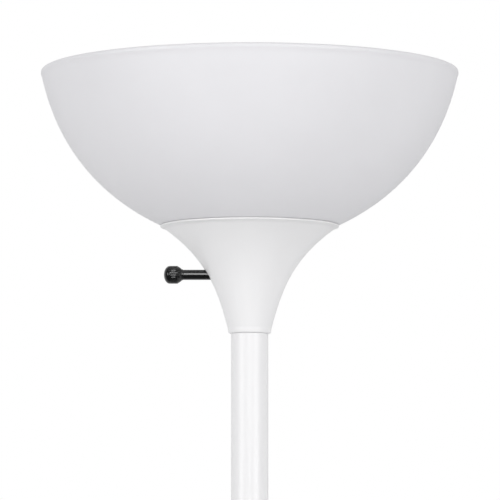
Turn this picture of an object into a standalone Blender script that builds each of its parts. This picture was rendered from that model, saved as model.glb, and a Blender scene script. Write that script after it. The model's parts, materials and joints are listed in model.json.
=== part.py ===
"""Uplighter floor lamp: a bowl shade on a flared neck, a pole in four screwed sections and a weighted base.

Lengths below are in millimetres and are turned into metres where the meshes are made.
The origin is on the floor under the middle of the base, +Z is up, and the switch knob points to -X.
"""

import math

import bmesh
import bpy

MM = 0.001
GAP = 0.3
MERGE_DISTANCE = 0.00001

# Whole lamp
LAMP_HEIGHT = 1800.0
BASE_RADIUS = 125.0
BASE_HEIGHT = 26.0
BASE_EDGE_BOTTOM = 1.0
BASE_SKIN = 1.0
POCKET_TOP = 18.5
GLAND_HEIGHT = 6.8
TOWARD_BACK = (math.radians(-90.0), 0.0, 0.0)
POLE_RADIUS = 12.5
POLE_WALL = 1.0
POLE_SECTIONS = 4

# Head, measured up from the underside of the flared neck
RIM_ABOVE_NECK_FOOT = 177.7
BOWL_RADIUS = 141.1
BOWL_WALL = 2.5
BOWL_FLOOR = 68.7
BOWL_HOLE_RADIUS = 20.2
NECK_HEIGHT = 73.1
NECK_FOOT_RADIUS = 13.8
NECK_RIM_RADIUS = 60.3
NECK_SKIN = 1.0
SWITCH_ABOVE_NECK_FOOT = 39.7
KNOB_END = 57.8
KNOB_RADIUS = 6.0
SHANK_RADIUS = 3.4

# Lamp holder and switch, on the same heights
HOLDER_RADIUS = 16.4
HOLDER_SPLIT = 28.0
BODY_TOP = 50.0
TERMINAL_HEIGHT = 37.0
TERMINAL_SHANK = 1.6
SPINDLE_RADIUS = 1.5
SKIRT_RADIUS = 19.4
SKIRT_TOP = 87.0
SHOULDER_TOP = BOWL_FLOOR - GAP
LEAD_TOP = 19.0
TOWARD_KNOB = (0.0, math.radians(-90.0), 0.0)

# Hollow threaded rods that hold the base, the pole and the head together
ROD_RADIUS = 5.0
ROD_BORE = 3.8
ROD_HOLE = 5.3

# Bulb, measured up from the contact under its cap
BULB_SEAT = 57.0
BULB_CAP_RADIUS = 13.0
BULB_CAP_TOP = 26.0
BULB_BODY_TOP = 60.0
BULB_RADIUS = 30.0
BULB_LENGTH = 108.0

NECK_Z = LAMP_HEIGHT - RIM_ABOVE_NECK_FOOT
POLE_BOTTOM = BASE_HEIGHT + GAP
POLE_TOP = NECK_Z - GAP
SECTION_PITCH = (POLE_TOP + GAP - POLE_BOTTOM) / POLE_SECTIONS
TUBE_BORE = POLE_RADIUS - POLE_WALL
PLUG_RADIUS = TUBE_BORE - GAP

# Sides of a full turn
WIDE_TURN = 40
NECK_TURN = 32
TUBE_TURN = 24
SMALL_TURN = 16

COLOURS = {
    "white_metal": ((0.86, 0.86, 0.85), 0.32, 0.0),
    "white_shade": ((0.86, 0.86, 0.88), 0.45, 0.0),
    "black_plastic": ((0.015, 0.015, 0.017), 0.35, 0.0),
    "phenolic": ((0.05, 0.045, 0.04), 0.4, 0.0),
    "zinc_steel": ((0.62, 0.62, 0.6), 0.35, 1.0),
    "brass": ((0.78, 0.6, 0.28), 0.3, 1.0),
    "cast_iron": ((0.09, 0.09, 0.095), 0.75, 1.0),
    "foam_pad": ((0.03, 0.03, 0.03), 0.9, 0.0),
    "rubber": ((0.03, 0.03, 0.03), 0.8, 0.0),
    "bulb_diffuser": ((0.93, 0.93, 0.91), 0.4, 0.0),
    "white_moulding": ((0.85, 0.85, 0.84), 0.4, 0.0),
    "cap_bead": ((0.03, 0.03, 0.035), 0.15, 0.0),
    "nickel": ((0.7, 0.68, 0.64), 0.25, 1.0),
    "aluminium": ((0.75, 0.75, 0.76), 0.35, 1.0),
    "wire_black": ((0.02, 0.02, 0.02), 0.55, 0.0),
    "wire_white": ((0.8, 0.8, 0.78), 0.5, 0.0),
    "lead_white": ((0.78, 0.78, 0.76), 0.55, 0.0),
}


def clear_scene():
    """Remove whatever the file opened with."""
    for obj in list(bpy.data.objects):
        bpy.data.objects.remove(obj, do_unlink=True)


def collection(name):
    """A collection in the scene, made on first use."""
    found = bpy.data.collections.get(name)
    if found is None:
        found = bpy.data.collections.new(name)
        bpy.context.scene.collection.children.link(found)
    return found


def material(finish):
    """A Principled material for one of the finishes in COLOURS, made on first use."""
    found = bpy.data.materials.get(finish)
    if found is not None:
        return found
    colour, roughness, metallic = COLOURS[finish]
    made = bpy.data.materials.new(finish)
    made.use_nodes = True
    shader = made.node_tree.nodes["Principled BSDF"]
    shader.inputs["Base Color"].default_value = (*colour, 1.0)
    shader.inputs["Roughness"].default_value = roughness
    shader.inputs["Metallic"].default_value = metallic
    return made


def add_part(name, data, finish, z=0.0, parent=None):
    """Put a mesh or curve in the lamp's collection as one named part, z millimetres up."""
    obj = bpy.data.objects.new(name, data)
    obj.location.z = z * MM
    obj.parent = parent
    data.materials.append(material(finish))
    collection("floor_lamp").objects.link(obj)
    return obj


def add_cutter(name, data, location=(0.0, 0.0, 0.0), rotation=(0.0, 0.0, 0.0)):
    """A hidden guide that a Boolean takes away from a part."""
    obj = bpy.data.objects.new(name, data)
    obj.location = [value * MM for value in location]
    obj.rotation_euler = rotation
    obj.hide_render = True
    obj.display_type = "WIRE"
    collection("cutters").objects.link(obj)
    return obj


def empty(name, z, rotation=(0.0, 0.0, 0.0)):
    """An axis marker that moving pieces hang from."""
    obj = bpy.data.objects.new(name, None)
    obj.location.z = z * MM
    obj.rotation_euler = rotation
    obj.empty_display_size = 0.02
    collection("floor_lamp").objects.link(obj)
    return obj


def cut(obj, cutter):
    """Take a cutter's shape out of a part."""
    boolean = obj.modifiers.new("cut_" + cutter.name, "BOOLEAN")
    boolean.operation = "DIFFERENCE"
    boolean.solver = "EXACT"
    boolean.object = cutter


def rounded(corners, steps=2):
    """Points of an outline; a corner given as (r, z, radius) becomes an arc of that radius."""
    points = []
    count = len(corners)
    for index, corner in enumerate(corners):
        if len(corner) == 2:
            points.append(corner)
            continue
        r, z, radius = corner
        before = corners[index - 1]
        after = corners[(index + 1) % count]
        in_r, in_z = before[0] - r, before[1] - z
        out_r, out_z = after[0] - r, after[1] - z
        in_length = math.hypot(in_r, in_z)
        out_length = math.hypot(out_r, out_z)
        in_r, in_z = in_r / in_length, in_z / in_length
        out_r, out_z = out_r / out_length, out_z / out_length
        half_angle = math.acos(max(-1.0, min(1.0, in_r * out_r + in_z * out_z))) / 2.0
        reach = radius / math.tan(half_angle)
        middle_r, middle_z = in_r + out_r, in_z + out_z
        middle_length = math.hypot(middle_r, middle_z)
        centre_distance = radius / math.sin(half_angle)
        centre_r = r + middle_r / middle_length * centre_distance
        centre_z = z + middle_z / middle_length * centre_distance
        start = math.atan2(z + in_z * reach - centre_z, r + in_r * reach - centre_r)
        end = math.atan2(z + out_z * reach - centre_z, r + out_r * reach - centre_r)
        sweep = (end - start + math.pi) % (2.0 * math.pi) - math.pi
        for step in range(steps + 1):
            angle = start + sweep * step / steps
            points.append((centre_r + radius * math.cos(angle), centre_z + radius * math.sin(angle)))
    return points


def bezier(start, first_handle, second_handle, end, steps):
    """Points along a cubic curve, both ends included."""
    points = []
    for step in range(steps + 1):
        t = step / steps
        weights = ((1 - t) ** 3, 3 * (1 - t) ** 2 * t, 3 * (1 - t) * t * t, t**3)
        corners = (start, first_handle, second_handle, end)
        r = sum(weight * corner[0] for weight, corner in zip(weights, corners))
        z = sum(weight * corner[1] for weight, corner in zip(weights, corners))
        points.append((r, z))
    return points


def offset_inward(points, distance):
    """A line moved to the left of its own direction of travel, which is inward on an outer side."""
    moved = []
    last = len(points) - 1
    for index, (r, z) in enumerate(points):
        before = points[max(index - 1, 0)]
        after = points[min(index + 1, last)]
        along_r, along_z = after[0] - before[0], after[1] - before[1]
        length = math.hypot(along_r, along_z)
        moved.append((r + along_z / length * distance, z - along_r / length * distance))
    return moved


def profile_mesh(name, points, closed):
    """A chain of edges in the XZ plane, in metres, ready for a Screw modifier."""
    mesh = bpy.data.meshes.new(name)
    shape = bmesh.new()
    verts = [shape.verts.new((r * MM, 0.0, z * MM)) for r, z in points]
    for first, second in zip(verts, verts[1:]):
        shape.edges.new((first, second))
    if closed:
        shape.edges.new((verts[-1], verts[0]))
    shape.to_mesh(mesh)
    shape.free()
    return mesh


def add_screw(obj, sides):
    """Turn a profile once round its own Z axis."""
    screw = obj.modifiers.new("turn", "SCREW")
    screw.steps = sides
    screw.render_steps = sides
    screw.use_smooth_shade = True
    screw.use_merge_vertices = True
    screw.merge_threshold = MERGE_DISTANCE


def turned(name, points, finish, sides, z=0.0, closed=False, parent=None):
    """A solid turned from an outline that runs down its outer side."""
    obj = add_part(name, profile_mesh(name, points, closed), finish, z, parent)
    add_screw(obj, sides)
    return obj


def turned_shell(name, points, thickness, finish, sides, z=0.0):
    """A skin of even thickness inside an open line that runs down its outer side."""
    obj = turned(name, points, finish, sides, z)
    solidify = obj.modifiers.new("skin", "SOLIDIFY")
    solidify.thickness = thickness * MM
    solidify.offset = -1.0
    solidify.use_even_offset = True
    return obj


def ring_points(outer, inner, bottom, top, edge=0.0):
    """Outline of a plain ring or tube, with its outer corners rounded when an edge radius is given."""
    if edge:
        return rounded([(outer, top, edge), (outer, bottom, edge), (inner, bottom), (inner, top)])
    return [(outer, top), (outer, bottom), (inner, bottom), (inner, top)]


def disc_points(radius, bottom, top):
    """Outline of a plain solid disc or rod."""
    return [(0.0, top), (radius, top), (radius, bottom), (0.0, bottom)]


def ring(name, outer, inner, bottom, top, finish, sides, z=0.0, edge=0.0, parent=None):
    """A ring, bush or tube standing on its axis."""
    return turned(name, ring_points(outer, inner, bottom, top, edge), finish, sides, z, True, parent)


def prism_mesh(name, radius, bottom, top, sides):
    """A closed prism about the Z axis."""
    mesh = bpy.data.meshes.new(name)
    shape = bmesh.new()
    bmesh.ops.create_cone(
        shape,
        cap_ends=True,
        segments=sides,
        radius1=radius * MM,
        radius2=radius * MM,
        depth=(top - bottom) * MM,
    )
    bmesh.ops.translate(shape, verts=shape.verts, vec=(0.0, 0.0, (top + bottom) / 2.0 * MM))
    shape.to_mesh(mesh)
    shape.free()
    return mesh


def block_mesh(name, low, high):
    """A closed box between two corners."""
    mesh = bpy.data.meshes.new(name)
    shape = bmesh.new()
    bmesh.ops.create_cube(shape, size=1.0)
    for vert in shape.verts:
        for axis in range(3):
            middle = (low[axis] + high[axis]) / 2.0
            vert.co[axis] = (middle + vert.co[axis] * (high[axis] - low[axis])) * MM
    shape.to_mesh(mesh)
    shape.free()
    return mesh


def hex_nut(name, across_flats, bottom, top, z=0.0):
    """A six-sided nut with a round hole for a threaded rod."""
    corner_radius = across_flats / math.sqrt(3.0)
    obj = add_part(name, prism_mesh(name, corner_radius, bottom, top, 6), "zinc_steel", z)
    hole = prism_mesh(name + "_hole", ROD_HOLE, bottom - 1.0, top + 1.0, SMALL_TURN)
    cut(obj, add_cutter(name + "_hole", hole, (0.0, 0.0, z)))
    return obj


def wire(name, points, radius, finish):
    """An insulated wire or lead along a hand-picked route."""
    curve = bpy.data.curves.new(name, "CURVE")
    curve.dimensions = "3D"
    curve.bevel_depth = radius * MM
    curve.bevel_resolution = 2
    curve.use_fill_caps = True
    spline = curve.splines.new("POLY")
    spline.points.add(len(points) - 1)
    for point, (x, y, z) in zip(spline.points, points):
        point.co = (x * MM, y * MM, z * MM, 1.0)
    return add_part(name, curve, finish)


def strip(name, route, width, thickness, finish, y=0.0):
    """A bent metal strip of even width, from a route in the XZ plane."""
    mesh = bpy.data.meshes.new(name)
    shape = bmesh.new()
    near = [shape.verts.new((x * MM, (y - width / 2.0) * MM, z * MM)) for x, z in route]
    far = [shape.verts.new((x * MM, (y + width / 2.0) * MM, z * MM)) for x, z in route]
    for index in range(len(route) - 1):
        shape.faces.new((near[index], near[index + 1], far[index + 1], far[index]))
    shape.to_mesh(mesh)
    shape.free()
    obj = add_part(name, mesh, finish, NECK_Z)
    solidify = obj.modifiers.new("thickness", "SOLIDIFY")
    solidify.thickness = thickness * MM
    solidify.offset = 0.0
    return obj


# Base


def base_pad():
    """Foam ring that the lamp stands on."""
    outer, inner, thickness = 117.0, 24.0, 2.0
    ring("base_pad", outer, inner, 0.0, thickness, "foam_pad", WIDE_TURN)


def base_weight():
    """Cast plate with a hub up to the cover, a pocket for the nut and a channel for the lead."""
    plate_radius, plate_bottom, plate_top = 121.0, 2.3, 10.0
    hub_radius, hub_fillet, draft = 24.0, 3.0, 1.5
    hub_top = BASE_HEIGHT - BASE_SKIN - GAP
    pocket_radius = 15.0
    outline = rounded(
        [
            (hub_radius, hub_top, 1.5),
            (hub_radius + draft, plate_top, hub_fillet),
            (plate_radius, plate_top, 2.0),
            (plate_radius, plate_bottom),
            (pocket_radius, plate_bottom),
            (pocket_radius, POCKET_TOP),
            (ROD_HOLE, POCKET_TOP),
            (ROD_HOLE, hub_top),
        ]
    )
    weight = turned("base_weight", outline, "cast_iron", WIDE_TURN, closed=True)
    channel_half_width, channel_top = 4.5, 8.4
    low = (-channel_half_width, pocket_radius - 2.0, plate_bottom - 1.0)
    high = (channel_half_width, plate_radius + 2.0, channel_top)
    cut(weight, add_cutter("lead_channel", block_mesh("lead_channel", low, high)))


def base_cover():
    """Pressed skin over the weight: upright edge, rounded shoulder and a gently domed top."""
    top = BASE_HEIGHT
    dome_start, dome_end = (26.0, top), (116.0, top - 5.6)
    shoulder_corner, shoulder_radius = (BASE_RADIUS, top - 7.6), 7.0
    dome = bezier(dome_start, (62.0, top), (92.0, top - 1.4), dome_end, 4)
    edge = rounded([dome_end, (*shoulder_corner, shoulder_radius), (BASE_RADIUS, BASE_EDGE_BOTTOM)], 4)
    line = [(ROD_HOLE, top)] + dome + edge[1:]
    cover = turned_shell("base_cover", line, BASE_SKIN, "white_metal", WIDE_TURN)
    hole_radius, reach = 4.2, 4.0
    hole = prism_mesh("gland_hole", hole_radius, -reach, reach, SMALL_TURN)
    cut(cover, add_cutter("gland_hole", hole, (0.0, BASE_RADIUS, GLAND_HEIGHT), TOWARD_BACK))


def cord_gland():
    """Rubber bush at the back edge, where a mains lead would come in."""
    flange_radius, body_radius, bore = 5.0, 3.8, 2.6
    outer_end, inner_end = 2.0, -3.2
    outline = [
        (flange_radius, outer_end),
        (flange_radius, GAP),
        (body_radius, GAP),
        (body_radius, inner_end),
        (bore, inner_end),
        (bore, outer_end),
    ]
    gland = turned("cord_gland", outline, "rubber", SMALL_TURN, closed=True)
    gland.location = (0.0, BASE_RADIUS * MM, GLAND_HEIGHT * MM)
    gland.rotation_euler = TOWARD_BACK


def base_fasteners():
    """Threaded rod from the nut under the weight up into the pole, with its washer and nut."""
    rod_bottom, rod_top = 11.0, 44.0
    washer_radius, washer_thickness = 12.0, 1.6
    nut_height, nut_flats = 5.0, 17.0
    washer_top = POCKET_TOP - GAP
    washer_bottom = washer_top - washer_thickness
    nut_top = washer_bottom - GAP
    ring("base_rod", ROD_RADIUS, ROD_BORE, rod_bottom, rod_top, "zinc_steel", SMALL_TURN)
    ring("base_washer", washer_radius, ROD_HOLE, washer_bottom, washer_top, "zinc_steel", TUBE_TURN)
    hex_nut("base_nut", nut_flats, nut_top - nut_height, nut_top)


# Pole


def pole_collar():
    """Trim ring round the foot of the pole."""
    inner, outer, height = POLE_RADIUS + GAP, 19.0, 10.0
    outline = rounded(
        [
            (outer - 2.0, height, 2.0),
            (outer, 0.0, 0.6),
            (inner, 0.0),
            (inner, height),
        ],
        steps=3,
    )
    turned("pole_collar", outline, "white_metal", TUBE_TURN, POLE_BOTTOM, True)


def pole_tubes():
    """The four equal tubes."""
    for section in range(POLE_SECTIONS):
        name = f"pole_tube_{section + 1}"
        bottom = POLE_BOTTOM + section * SECTION_PITCH
        length = SECTION_PITCH - GAP
        ring(name, POLE_RADIUS, TUBE_BORE, 0.0, length, "white_metal", TUBE_TURN, bottom)


def pole_joints():
    """Three screwed joints: a plug with a stud in the lower tube and a threaded socket in the upper."""
    plug_length, stud_radius, stud_length, lead_bore = 16.0, 7.0, 14.0, 4.0
    socket_length, edge = 18.0, 1.0
    for joint in range(1, POLE_SECTIONS):
        level = POLE_BOTTOM + joint * SECTION_PITCH
        plug = [
            (stud_radius - edge, stud_length),
            (stud_radius, stud_length - edge),
            (stud_radius, -GAP),
            (PLUG_RADIUS, -GAP),
            (PLUG_RADIUS, -plug_length),
            (lead_bore, -plug_length),
            (lead_bore, stud_length),
        ]
        turned(f"joint_{joint}_plug", plug, "zinc_steel", TUBE_TURN, level, True)
        name = f"joint_{joint}_socket"
        bore = stud_radius + GAP
        ring(name, PLUG_RADIUS, bore, GAP, socket_length, "zinc_steel", TUBE_TURN, level)


def pole_end_bushes():
    """Threaded bushes in the two free ends of the pole."""
    length, inset = 18.0, 0.3
    ring("foot_bush", PLUG_RADIUS, ROD_HOLE, inset, length, "zinc_steel", TUBE_TURN, POLE_BOTTOM)
    ring("head_bush", PLUG_RADIUS, ROD_HOLE, -length, -inset, "zinc_steel", TUBE_TURN, POLE_TOP)


# Neck


def neck_radius(height):
    """Outer radius of the flared neck: a straight taper plus a steep power of the height."""
    share = height / NECK_HEIGHT
    taper, flare, power = 19.5, 27.1, 3.22
    return NECK_FOOT_RADIUS + taper * share + flare * share**power


def neck_cup():
    """Spun flared neck with a closed foot, an upright lip and a side hole for the switch shank."""
    foot_round, lip_height, rows = 1.6, 1.7, 8
    flare_top = NECK_HEIGHT - lip_height
    heights = [flare_top - (flare_top - foot_round) * row / rows for row in range(rows + 1)]
    line = [(NECK_RIM_RADIUS, NECK_HEIGHT), (NECK_RIM_RADIUS, flare_top)]
    line += [(min(neck_radius(height), NECK_RIM_RADIUS), height) for height in heights[1:]]
    foot_radius = neck_radius(foot_round)
    line += rounded([line[-1], (foot_radius - 0.2, 0.0, foot_round * 0.8), (POLE_RADIUS, 0.0)])[1:]
    line.append((ROD_HOLE, 0.0))
    cup = turned_shell("neck_cup", line, NECK_SKIN, "white_metal", NECK_TURN, NECK_Z)
    hole_radius, near, far = SHANK_RADIUS + 0.6, 12.0, 45.0
    hole = prism_mesh("shank_hole", hole_radius, near, far, SMALL_TURN)
    place = (0.0, 0.0, NECK_Z + SWITCH_ABOVE_NECK_FOOT)
    cut(cup, add_cutter("shank_hole", hole, place, TOWARD_KNOB))


def neck_fasteners():
    """Nipple from the pole's top bush through the neck's foot, with its lock washer and nut."""
    nipple_bottom, nipple_top = -15.0, 17.0
    washer_radius, washer_thickness = 8.6, 1.0
    nut_height, nut_flats = 3.5, 14.0
    washer_bottom = NECK_SKIN + GAP
    washer_top = washer_bottom + washer_thickness
    nut_bottom = washer_top + GAP
    nut_top = nut_bottom + nut_height
    ring("neck_nipple", ROD_RADIUS, ROD_BORE, nipple_bottom, nipple_top, "zinc_steel", SMALL_TURN, NECK_Z)
    ring("neck_washer", washer_radius, ROD_HOLE, washer_bottom, washer_top, "zinc_steel", SMALL_TURN, NECK_Z)
    hex_nut("neck_nut", nut_flats, nut_bottom, nut_top, NECK_Z)


# Lamp holder and switch


def holder_cap():
    """Cup that screws on the nipple and carries the switch body."""
    wall, boss_radius, boss_bottom, boss_top = 1.6, 8.0, 8.2, 14.0
    outline = rounded(
        [
            (HOLDER_RADIUS, HOLDER_SPLIT),
            (HOLDER_RADIUS, 20.0, 4.0),
            (boss_radius + 1.0, boss_top - 2.0, 1.5),
            (boss_radius, boss_bottom),
            (ROD_HOLE, boss_bottom),
            (ROD_HOLE, boss_top),
            (boss_radius, boss_top),
            (HOLDER_RADIUS - wall, 22.0, 3.0),
            (HOLDER_RADIUS - wall, HOLDER_SPLIT),
        ]
    )
    turned("holder_cap", outline, "phenolic", TUBE_TURN, NECK_Z, True)


def switch_body():
    """Moulded block with the switch chamber open below, the shank side hole and two screw holes."""
    bottom = HOLDER_SPLIT + GAP
    past = 1.0
    chamber_left, chamber_right, chamber_half_depth, chamber_top = -10.5, 11.5, 7.0, 46.5
    slot_half_width, slot_top = 1.6, 32.0
    spindle_hole_radius, spindle_hole_start = 2.1, 8.0
    mesh = prism_mesh("switch_body", HOLDER_RADIUS, bottom, BODY_TOP, TUBE_TURN)
    body = add_part("switch_body", mesh, "phenolic", NECK_Z)
    chamber_low = (chamber_left, -chamber_half_depth, bottom - past)
    chamber_high = (chamber_right, chamber_half_depth, chamber_top)
    chamber = block_mesh("switch_chamber", chamber_low, chamber_high)
    cut(body, add_cutter("switch_chamber", chamber, (0.0, 0.0, NECK_Z)))
    spindle_hole = prism_mesh(
        "spindle_hole", spindle_hole_radius, spindle_hole_start, HOLDER_RADIUS + past, SMALL_TURN
    )
    place = (0.0, 0.0, NECK_Z + SWITCH_ABOVE_NECK_FOOT)
    cut(body, add_cutter("spindle_hole", spindle_hole, place, TOWARD_KNOB))
    screw_reach = 8.0
    for side, name in ((1, "live"), (-1, "neutral")):
        screw_hole = prism_mesh(f"{name}_hole", TERMINAL_SHANK + GAP, -screw_reach, screw_reach, SMALL_TURN)
        location = (0.0, side * HOLDER_RADIUS, NECK_Z + TERMINAL_HEIGHT)
        cut(body, add_cutter(f"{name}_hole", screw_hole, location, (math.radians(90.0), 0.0, 0.0)))
    slot_reach = HOLDER_RADIUS + past
    slot_low = (-slot_half_width, -slot_reach, bottom - past)
    slot = block_mesh("wire_slot", slot_low, (slot_half_width, slot_reach, slot_top))
    cut(body, add_cutter("wire_slot", slot, (0.0, 0.0, NECK_Z)))


def terminal_screws():
    """Brass screws that the two wires end under."""
    head_radius, head_height, shank_depth = 3.2, 1.8, 6.0
    for side, name in ((1, "live"), (-1, "neutral")):
        outline = [
            (0.0, head_height),
            (head_radius - 0.4, head_height),
            (head_radius, head_height - 0.5),
            (head_radius, 0.0),
            (TERMINAL_SHANK, 0.0),
            (TERMINAL_SHANK, -shank_depth),
            (0.0, -shank_depth),
        ]
        screw = turned(f"terminal_screw_{name}", outline, "brass", SMALL_TURN)
        screw.location = (0.0, side * (HOLDER_RADIUS + GAP) * MM, (NECK_Z + TERMINAL_HEIGHT) * MM)
        screw.rotation_euler.x = math.radians(-90.0 * side)


def switch_contact():
    """Fixed leaf under the rotor; the rotor's lobes pass just clear of it."""
    width, thickness = 5.0, 0.5
    route = [(-7.0, 29.0), (-7.0, 32.5), (7.0, 32.5), (9.0, 34.5)]
    strip("switch_contact", route, width, thickness, "brass")


def switch_rotor(axis):
    """Four-lobed moulded cam on the spindle, inside the body's chamber."""
    lobes, lobe_radius, lobe_rounding, low, high = 4, 5.4, 0.8, -8.0, 8.0
    mesh = prism_mesh("switch_rotor", lobe_radius, low, high, lobes)
    rotor = add_part("switch_rotor", mesh, "white_moulding", parent=axis)
    bevel = rotor.modifiers.new("lobes", "BEVEL")
    bevel.width = lobe_rounding * MM
    bevel.segments = 2
    spindle_socket = prism_mesh("spindle_socket", SPINDLE_RADIUS + GAP, 0.0, high + 2.0, SMALL_TURN)
    place = (0.0, 0.0, NECK_Z + SWITCH_ABOVE_NECK_FOOT)
    cut(rotor, add_cutter("spindle_socket", spindle_socket, place, TOWARD_KNOB))


def switch_spindle(axis):
    """Steel pin from the rotor out into the knob's shank."""
    inner_end, outer_end = 0.6, 44.0
    outline = disc_points(SPINDLE_RADIUS, inner_end, outer_end)
    turned("switch_spindle", outline, "zinc_steel", SMALL_TURN, parent=axis)


def switch_knob(axis):
    """Black moulded knob: domed barrel, taper and a slim shank with a blind hole for the spindle."""
    shank_start, shank_end, barrel_start = 19.0, 45.2, 48.6
    dome_depth, dome_rows = 3.9, 4
    hole_end = 45.0
    hole_radius = SPINDLE_RADIUS + GAP
    outline = [(0.0, KNOB_END)]
    for row in range(1, dome_rows + 1):
        turn = math.radians(90.0) * row / dome_rows
        outline.append((KNOB_RADIUS * math.sin(turn), KNOB_END - dome_depth * (1.0 - math.cos(turn))))
    outline += [
        (KNOB_RADIUS, barrel_start),
        (SHANK_RADIUS + 0.4, shank_end),
        (SHANK_RADIUS, shank_end - 0.4),
        (SHANK_RADIUS, shank_start),
        (hole_radius, shank_start),
        (hole_radius, hole_end),
        (0.0, hole_end),
    ]
    turned("switch_knob", outline, "black_plastic", TUBE_TURN, parent=axis)


def switch():
    """Everything that turns with the knob, on one axis that points out of the lamp's left side."""
    axis = empty("switch_axis", NECK_Z + SWITCH_ABOVE_NECK_FOOT, TOWARD_KNOB)
    switch_rotor(axis)
    switch_spindle(axis)
    switch_knob(axis)


def socket_insulator():
    """Disc that keeps the shell off the switch body, with the contact's hole."""
    contact_hole_radius, thickness = 2.6, 2.0
    bottom = BODY_TOP + GAP
    top = bottom + thickness
    ring("socket_insulator", HOLDER_RADIUS, contact_hole_radius, bottom, top, "phenolic", TUBE_TURN, NECK_Z)


def centre_contact():
    """Spring tongue under the bulb's tip."""
    width, thickness = 5.0, 0.4
    route = [(9.0, 53.0), (3.0, 53.0), (-2.0, 56.2), (-4.0, 55.6)]
    strip("centre_contact", route, width, thickness, "brass")


def screw_shell():
    """Metal shell that the bulb's cap goes into."""
    inner, wall, bottom, top, foot_inner = BULB_CAP_RADIUS + 0.6, 0.6, 53.4, 80.0, 10.5
    outline = [
        (inner + wall, top),
        (inner + wall, bottom),
        (foot_inner, bottom),
        (foot_inner, bottom + wall),
        (inner, bottom + wall),
        (inner, top),
    ]
    turned("screw_shell", outline, "brass", TUBE_TURN, NECK_Z, True)


def socket_skirt():
    """Outer sleeve of the lamp holder, with the shoulder that the bowl's floor sits on."""
    bore, bottom, lip_bore, lip_height = HOLDER_RADIUS + GAP, 44.0, 14.8, 3.0
    shoulder_radius, shoulder_height = 25.5, 3.0
    outline = rounded(
        [
            (SKIRT_RADIUS, SKIRT_TOP, 1.0),
            (SKIRT_RADIUS, SHOULDER_TOP),
            (shoulder_radius, SHOULDER_TOP),
            (shoulder_radius, SHOULDER_TOP - shoulder_height),
            (SKIRT_RADIUS, SHOULDER_TOP - shoulder_height),
            (SKIRT_RADIUS, bottom),
            (bore, bottom),
            (bore, SKIRT_TOP - lip_height),
            (lip_bore, SKIRT_TOP - lip_height),
            (lip_bore, SKIRT_TOP),
        ]
    )
    turned("socket_skirt", outline, "phenolic", TUBE_TURN, NECK_Z, True)


def shade_ring():
    """Ring nut that clamps the bowl's floor down on the shoulder."""
    bottom = BOWL_FLOOR + BOWL_WALL + GAP
    bore, sleeve_radius, flange_radius = SKIRT_RADIUS + GAP, 22.5, 28.0
    flange_height, height = 2.4, 9.0
    outline = rounded(
        [
            (sleeve_radius, bottom + height, 0.8),
            (sleeve_radius, bottom + flange_height),
            (flange_radius, bottom + flange_height, 0.8),
            (flange_radius, bottom),
            (bore, bottom),
            (bore, bottom + height),
        ]
    )
    turned("shade_ring", outline, "phenolic", NECK_TURN, NECK_Z, True)


# Shade


def shade_bowl():
    """Open bowl, one curve from rim to floor, resting over the neck's lip."""
    rim = RIM_ABOVE_NECK_FOOT
    lip_round = BOWL_WALL / 2.0
    outer = bezier((BOWL_RADIUS, rim - lip_round), (128.5, 115.2), (88.5, 84.3), (50.0, 69.6), 10)
    inner = offset_inward(outer, BOWL_WALL)
    floor_blend = 44.0
    rim_centre = BOWL_RADIUS - lip_round
    rim_angles = (150.0, 90.0, 30.0)
    lip = []
    for angle in rim_angles:
        turn = math.radians(angle)
        lip.append((rim_centre + lip_round * math.cos(turn), rim - lip_round + lip_round * math.sin(turn)))
    floor = [
        (floor_blend, BOWL_FLOOR),
        (BOWL_HOLE_RADIUS, BOWL_FLOOR),
        (BOWL_HOLE_RADIUS, BOWL_FLOOR + BOWL_WALL),
        (floor_blend, BOWL_FLOOR + BOWL_WALL),
    ]
    outline = lip + outer + floor + inner[::-1]
    turned("shade_bowl", outline, "white_shade", WIDE_TURN, NECK_Z, True)


# Bulb


def bulb_cap(axis):
    """Screw cap of the bulb, drawn plain."""
    wall, top, bottom = 0.5, BULB_CAP_TOP, 4.5
    shoulder_radius, shoulder_bottom = 10.0, 2.8
    outline = [
        (BULB_CAP_RADIUS, top),
        (BULB_CAP_RADIUS, bottom),
        (shoulder_radius, shoulder_bottom),
        (shoulder_radius - wall, shoulder_bottom),
        (BULB_CAP_RADIUS - wall, bottom + 0.6),
        (BULB_CAP_RADIUS - wall, top),
    ]
    turned("bulb_cap", outline, "nickel", TUBE_TURN, parent=axis, closed=True)


def bulb_cap_insulator(axis):
    """Dark glass bead at the bottom of the cap."""
    outline = [(9.0, 3.4), (9.0, 2.6), (5.5, 1.0), (3.2, 1.0), (3.2, 3.4)]
    turned("bulb_cap_insulator", outline, "cap_bead", SMALL_TURN, parent=axis, closed=True)


def bulb_tip(axis):
    """Centre contact of the bulb."""
    outline = [(0.0, 3.0), (2.8, 3.0), (2.8, 0.8), (1.8, 0.0), (0.0, 0.0)]
    turned("bulb_tip", outline, "nickel", SMALL_TURN, parent=axis)


def bulb_body(axis):
    """Tapered housing between the cap and the diffuser."""
    stem_radius, stem_bore, seat_radius, wall = BULB_CAP_RADIUS + 0.6, 12.0, 28.4, 2.0
    bottom, taper_start, taper_end = BULB_CAP_TOP + GAP, 32.0, 57.0
    outline = rounded(
        [
            (seat_radius, BULB_BODY_TOP),
            (seat_radius, taper_end, 4.0),
            (stem_radius, taper_start, 2.0),
            (stem_radius, bottom),
            (stem_bore, bottom),
            (stem_bore, taper_start + 0.5),
            (seat_radius - wall, taper_end + 0.5),
            (seat_radius - wall, BULB_BODY_TOP),
        ],
        steps=3,
    )
    turned("bulb_body", outline, "white_moulding", TUBE_TURN, parent=axis, closed=True)


def bulb_board(axis):
    """Disc that carries the light chips and spreads their heat."""
    radius, bottom, top = 25.6, 57.6, 59.2
    turned("bulb_board", disc_points(radius, bottom, top), "aluminium", TUBE_TURN, parent=axis)


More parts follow.
